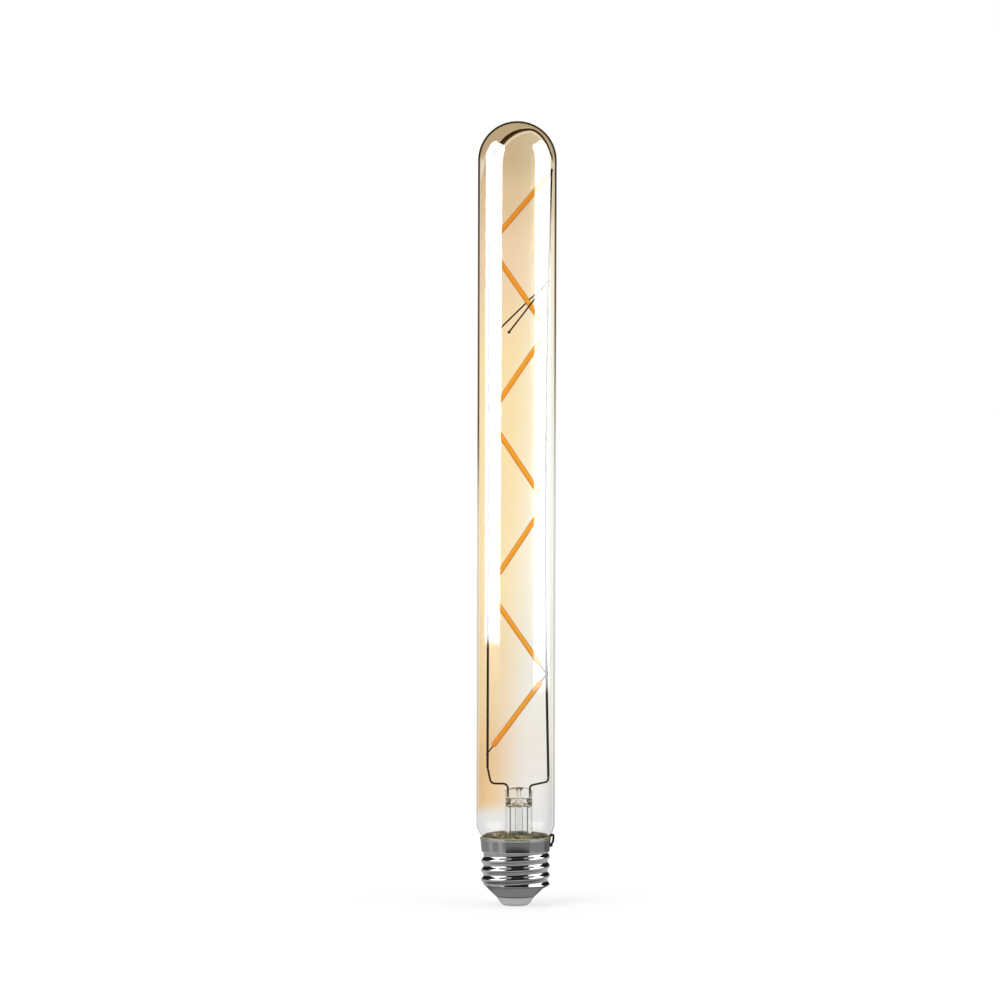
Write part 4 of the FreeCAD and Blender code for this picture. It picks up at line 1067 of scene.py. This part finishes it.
cement = {
    "around": 200,
    # waves that lift and lower the top: size, how many round the axis, and phase
    "lumps": ((0.10, 7, 0.4), (0.08, 13, 2.1), (0.06, 23, 1.2), (0.05, 41, 4.0)),
    "sink": 0.1,                     # how much lower the middle of the waves is
    # radius, height, and what part of the waves a point follows
    "profile": ((12.27, 21.3, 0), (12.80, 21.3, 0), (12.96, 23.0, 0), (13.12, 24.6, 0),
                (13.22, 25.7, 0.3), (13.20, 26.0, 0.7), (13.10, 26.25, 1), (12.98, 26.4, 0.7),
                (12.80, 26.34, 0.2), (12.62, 26.15, 0), (12.42, 25.8, 0), (12.28, 25.2, 0)),
    "dark": (0.090, 0.074, 0.025),
    "light": (0.32, 0.275, 0.115),
    # in the noise of the patches, crumbs are above its middle and stains below it
    "crumbs": (0.50, 0.46, 0.24),
    "crumbsFrom": (0.53, 0.63),
    "crumbsShare": 0.75,
    "stains": (0.07, 0.035, 0.018),
    "stainsFrom": (0.46, 0.37),
    "stainsShare": 0.4,
    # painted light: the top of the fillet, paler where the lamps catch it
    "paintedTopLight": (0.62, 0.60, 0.38),
    "topHeights": (0.0259, 0.0262),
    "topShare": 0.6,
}


def cementColours(shades):
    # olive-brown cement with coarse grains, paler crumbs and reddish stains
    grain = shades.noise(1400, 5)
    patches = shades.noise(620, 3)
    colour = shades.blend(shades.ease(grain, 0.35, 0.65), cement["dark"], cement["light"])
    for kind in ("crumbs", "stains"):
        share = shades.ease(patches, *cement[kind + "From"]) * cement[kind + "Share"]
        colour = shades.blend(share, colour, cement[kind])
    return colour, grain


def cementBehindGlass(shades, colour, grain):
    return shades.principled({
        "Base Color": colour,
        "Roughness": 0.5 + 0.2 * grain,
        "Specular IOR Level": 0.3,
        "Normal": shades.bump(grain, 0.0002, 0.6)})


def cementFinish():
    shades = newMaterial("oliveCement")
    colour, grain = cementColours(shades)
    # painted light on the top of the fillet, here named crumbs
    crumbs = shades.ease(shades.along(2), *cement["topHeights"]) * cement["topShare"]
    return shades.finish(shades.principled({
        "Base Color": shades.blend(crumbs, colour, cement["paintedTopLight"]),
        "Roughness": 0.75 + 0.2 * grain,
        "Normal": shades.bump(grain, 0.0004, 0.9)}))


def makeCement():
    # a ring between neck and collar that is drawn up the shoulder in a lumpy fillet: the sum of
    # size * sin(waves * a + phase) lifts and lowers its top
    count = cement["around"]
    lumps = sum(size * np.sin(waves * around(count) + phase)
                for size, waves, phase in cement["lumps"])
    profile = np.array(cement["profile"])
    height = profile[:, 1:2] + profile[:, 2:] * (lumps - cement["sink"])
    grid = turned(profile[:, :1], height, count)
    ring = surface("cementRing", grid, cementFinish(), wrapRows=True)
    return onPart(ring, "cap_cement")


# Contact and insulator

contact = {
    "faceRadius": 3.9,
    "edge": (1.4, 0.8),              # how far out the round edge reaches, and how high
    "around": 96,
    "rows": (6, 9),                  # of points on the face and on the round edge
    # radius and height of the back, the rivet's shank and its head
    "shank": ((5.2, 0.8), (1.1, 0.8), (1.1, 4.1), (1.7, 4.1), (1.7, 4.5), (0.4, 4.5), (0.0, 4.5)),
}


def makeContact():
    # the pressed contact: a flat face, a round edge of reach * sin a and height * (1 - cos a), and
    # its rivet's shank
    radius = contact["faceRadius"]
    reach, height = contact["edge"]
    faceRows, edgeRows = contact["rows"]
    face = np.stack([np.linspace(0, radius, faceRows), np.zeros(faceRows)], axis=-1)[:-1]
    angle = np.linspace(0, np.pi / 2, edgeRows)
    rounded = np.stack([radius + reach * np.sin(angle), height * (1 - np.cos(angle))], axis=-1)
    grid = turnedProfile(np.concatenate([face, rounded, contact["shank"]]), contact["around"])
    finish = plainFinish("paleContact")
    piece = surface("pressedContact", grid, finish, poles=(True, True), crease=35)
    return onPart(piece, "centre_contact")


insulator = {
    "dark": (0.53, 0.53, 0.52),
    "light": (0.63, 0.63, 0.62),
    "shaded": (0.05, 0.05, 0.05),    # painted shade over its top, inside the shell
    "shadedFrom": (0.0030, 0.0035),
}


def insulatorFinish():
    # pale grey moulding, slightly waxy, with faint flow marks, and painted shade at its top
    shades = newMaterial("paleInsulator")
    flow = shades.noise(90, 3, (1, 1, 3))
    specks = shades.noise(1200, 2)
    colour = shades.blend(flow, insulator["dark"], insulator["light"])
    # painted shade where the top goes up under the lip
    paintedShade = shades.ease(shades.along(2), *insulator["shadedFrom"])
    return shades.finish(shades.principled({
        "Base Color": shades.blend(paintedShade, colour, insulator["shaded"]),
        "Roughness": 0.38 + 0.12 * specks,
        "Normal": shades.bump(specks, 0.00003, 0.3),
        "Subsurface Weight": 0.15,
        "Subsurface Scale": 0.001}))


# Wires

wireLooks = {
    # dark and light colour, roughness, how metallic it is, and its gloss where it isn't
    "tinnedWire": ((0.012, 0.010, 0.009), (0.05, 0.045, 0.04), 0.4, 0.6, 0.5),
    "darkNickelWire": ((0.014, 0.009, 0.003), (0.035, 0.023, 0.008), 0.55, 0.0, 0.12),
    "copperCladWire": ((0.07, 0.03, 0.022), (0.16, 0.075, 0.05), 0.4, 0.7, 0.5),
    "platedStrip": ((0.014, 0.009, 0.004), (0.045, 0.030, 0.013), 0.5, 0.1, 0.2),
}
drawnWires = {
    # how much thicker each wire looks than its bare metal all round: tinning, oxide or a sheath
    "shell_wire": ("tinnedLoop", 0.25, "tinned_wire"),
    "rail_left": ("leftRail", 0.08, "nickel_wire"),
    "rail_right": ("rightRail", 0.08, "nickel_wire"),
    "lead_left": ("leftLead", 0.08, "nickel_wire"),
    "lead_right": ("rightLead", 0.08, "nickel_wire"),
    "strut_front": ("frontStrut", 0.07, "nickel_wire"),
    "strut_back": ("backStrut", 0.07, "nickel_wire"),
}
drawnIn = (14.6, 0.25)    # x past which a wire is drawn in, and by what part of the rest


def wireFinish(name):
    # drawn wire: fine marks along it and slow changes of colour from the flame it was worked in
    dark, light, rough, metal, gloss = wireLooks[name]
    shades = newMaterial(name)
    heat = shades.noise(120, 3)
    marks = shades.noise(1800, 2)
    return shades.finish(shades.principled({
        "Base Color": shades.blend(shades.ease(heat, 0.35, 0.7), dark, light),
        "Metallic": metal,
        "Roughness": rough + 0.15 * marks,
        "Normal": shades.bump(marks, 0.00003, 0.4),
        "Specular IOR Level": gloss}))


def makeDrawnWire(node, material):
    # A copy of the CAD wire, merged, with each point moved out along its normal. What is past the
    # first value of drawnIn is then drawn in, so the loop stays within the tube's width.
    name, extra, slotName = drawnWires[node]
    limit, share = drawnIn
    copy = bmesh.new()
    copy.from_mesh(nodes[node].data)
    bmesh.ops.remove_doubles(copy, verts=copy.verts, dist=1e-7)
    bmesh.ops.recalc_face_normals(copy, faces=copy.faces)
    copy.normal_update()
    for vertex in copy.verts:
        vertex.co += vertex.normal * extra * mm
        vertex.co.x -= share * max(0.0, vertex.co.x - limit * mm)
    mesh = bpy.data.meshes.new(name)
    copy.to_mesh(mesh)
    copy.free()
    mesh.shade_smooth()
    mesh.materials.clear()
    mesh.materials.append(material)
    return onPart(addObject(name, mesh), node)


# Driver in the cap

plainLooks = {
    # dark and light colour, roughness, lumps in a metre, how metallic it is, and its clear coat
    "paleContact": ((0.58, 0.58, 0.57), (0.68, 0.68, 0.67), 0.3, 700, 0.3, 0.0),
    "canSleeve": ((0.03, 0.035, 0.05), (0.06, 0.07, 0.09), 0.3, 300, 0.0, 0.4),
    "resistorLacquer": ((0.15, 0.26, 0.36), (0.24, 0.38, 0.48), 0.3, 300, 0.0, 0.4),
    "blackMoulding": ((0.02, 0.02, 0.022), (0.045, 0.045, 0.05), 0.5, 900, 0.0, 0.0),
}


def plainFinish(name):
    # a cloudy mix of two shades with the same cloud as a faint relief
    dark, light, rough, scale, metal, coat = plainLooks[name]
    shades = newMaterial(name)
    cloud = shades.noise(scale, 4)
    return shades.finish(shades.principled({
        "Base Color": shades.blend(cloud, dark, light),
        "Metallic": metal,
        "Roughness": rough + 0.12 * cloud,
        "Coat Weight": coat,
        "Normal": shades.bump(cloud, 0.00003, 0.5)}))


board = {
    # tracks along each way: where one is, the gap to the next, and their width
    "upright": (-0.0004, 0.0031, 0.0005),
    "level": (0.0007, 0.0043, 0.0006),
    "uprightFrom": (-0.006, -0.0058),
    "mask": ((0.035, 0.12, 0.045), (0.05, 0.17, 0.06)),
    "track": (0.12, 0.30, 0.10),
}


def boardFinish():
    # solder mask over copper tracks: a track is where one of two square lattices is near a line
    shades = newMaterial("greenBoard")
    x, y = shades.along(0), shades.along(1)

    def lines(place, start, gap, width):
        wrapped = shades.maths("PINGPONG", place - start, gap / 2)
        return 1 - shades.ease(wrapped, width / 2, width * 0.7)

    tracks = lines(x, *board["upright"]) * shades.ease(y, *board["uprightFrom"])
    tracks = tracks + lines(y, *board["level"]) * (1 - tracks)
    weave = shades.noise(700, 3)
    return shades.finish(shades.principled({
        "Base Color": shades.blend(tracks * 0.6, shades.blend(weave, *board["mask"]), board["track"]),
        "Roughness": 0.35 + 0.1 * weave,
        "Coat Weight": 0.3,
        "Normal": shades.bump(tracks + weave * 0.1, 0.00005, 0.5)}))


def paintFrame(darkWire, tinnedWire):
    # the CAD nodes that show as they are, and those under the drawn wires
    paint(stemGlass(), "stem")
    paint(thinGlass(), "exhaust_tube")
    paint(darkWire, "strut_bead", *(node for node in drawnWires if node != "shell_wire"))
    paint(wireFinish("copperCladWire"), "seal_wire_left", "seal_wire_right", "outer_lead_left",
          "outer_lead_right")
    ends = (f"tab_{number}_{side}" for number in range(1, 8) for side in ("left", "right"))
    paint(wireFinish("platedStrip"), *ends)
    paint(tinnedWire, "shell_weld")
    paint(insulatorFinish(), "cap_insulator")
    paint(boardFinish(), "driver_board")
    paint(plainFinish("canSleeve"), "filter_capacitor")
    paint(plainFinish("resistorLacquer"), "fuse_resistor")
    paint(plainFinish("blackMoulding"), "bridge_rectifier", "driver_chip")
    print("frame painted")


makeStudio()
makeEnvelope()
print("glass tube made")
makeCap()
makeCement()
makeContact()
print("cap made")
tinnedWire = wireFinish("tinnedWire")
darkWire = wireFinish("darkNickelWire")
for node in drawnWires:
    makeDrawnWire(node, tinnedWire if node == "shell_wire" else darkWire)
print("wires drawn")
filamentFinish = phosphor()
for number in range(1, 8):
    makeFilament(number, filamentFinish)
print("filaments made")
paintFrame(darkWire, tinnedWire)
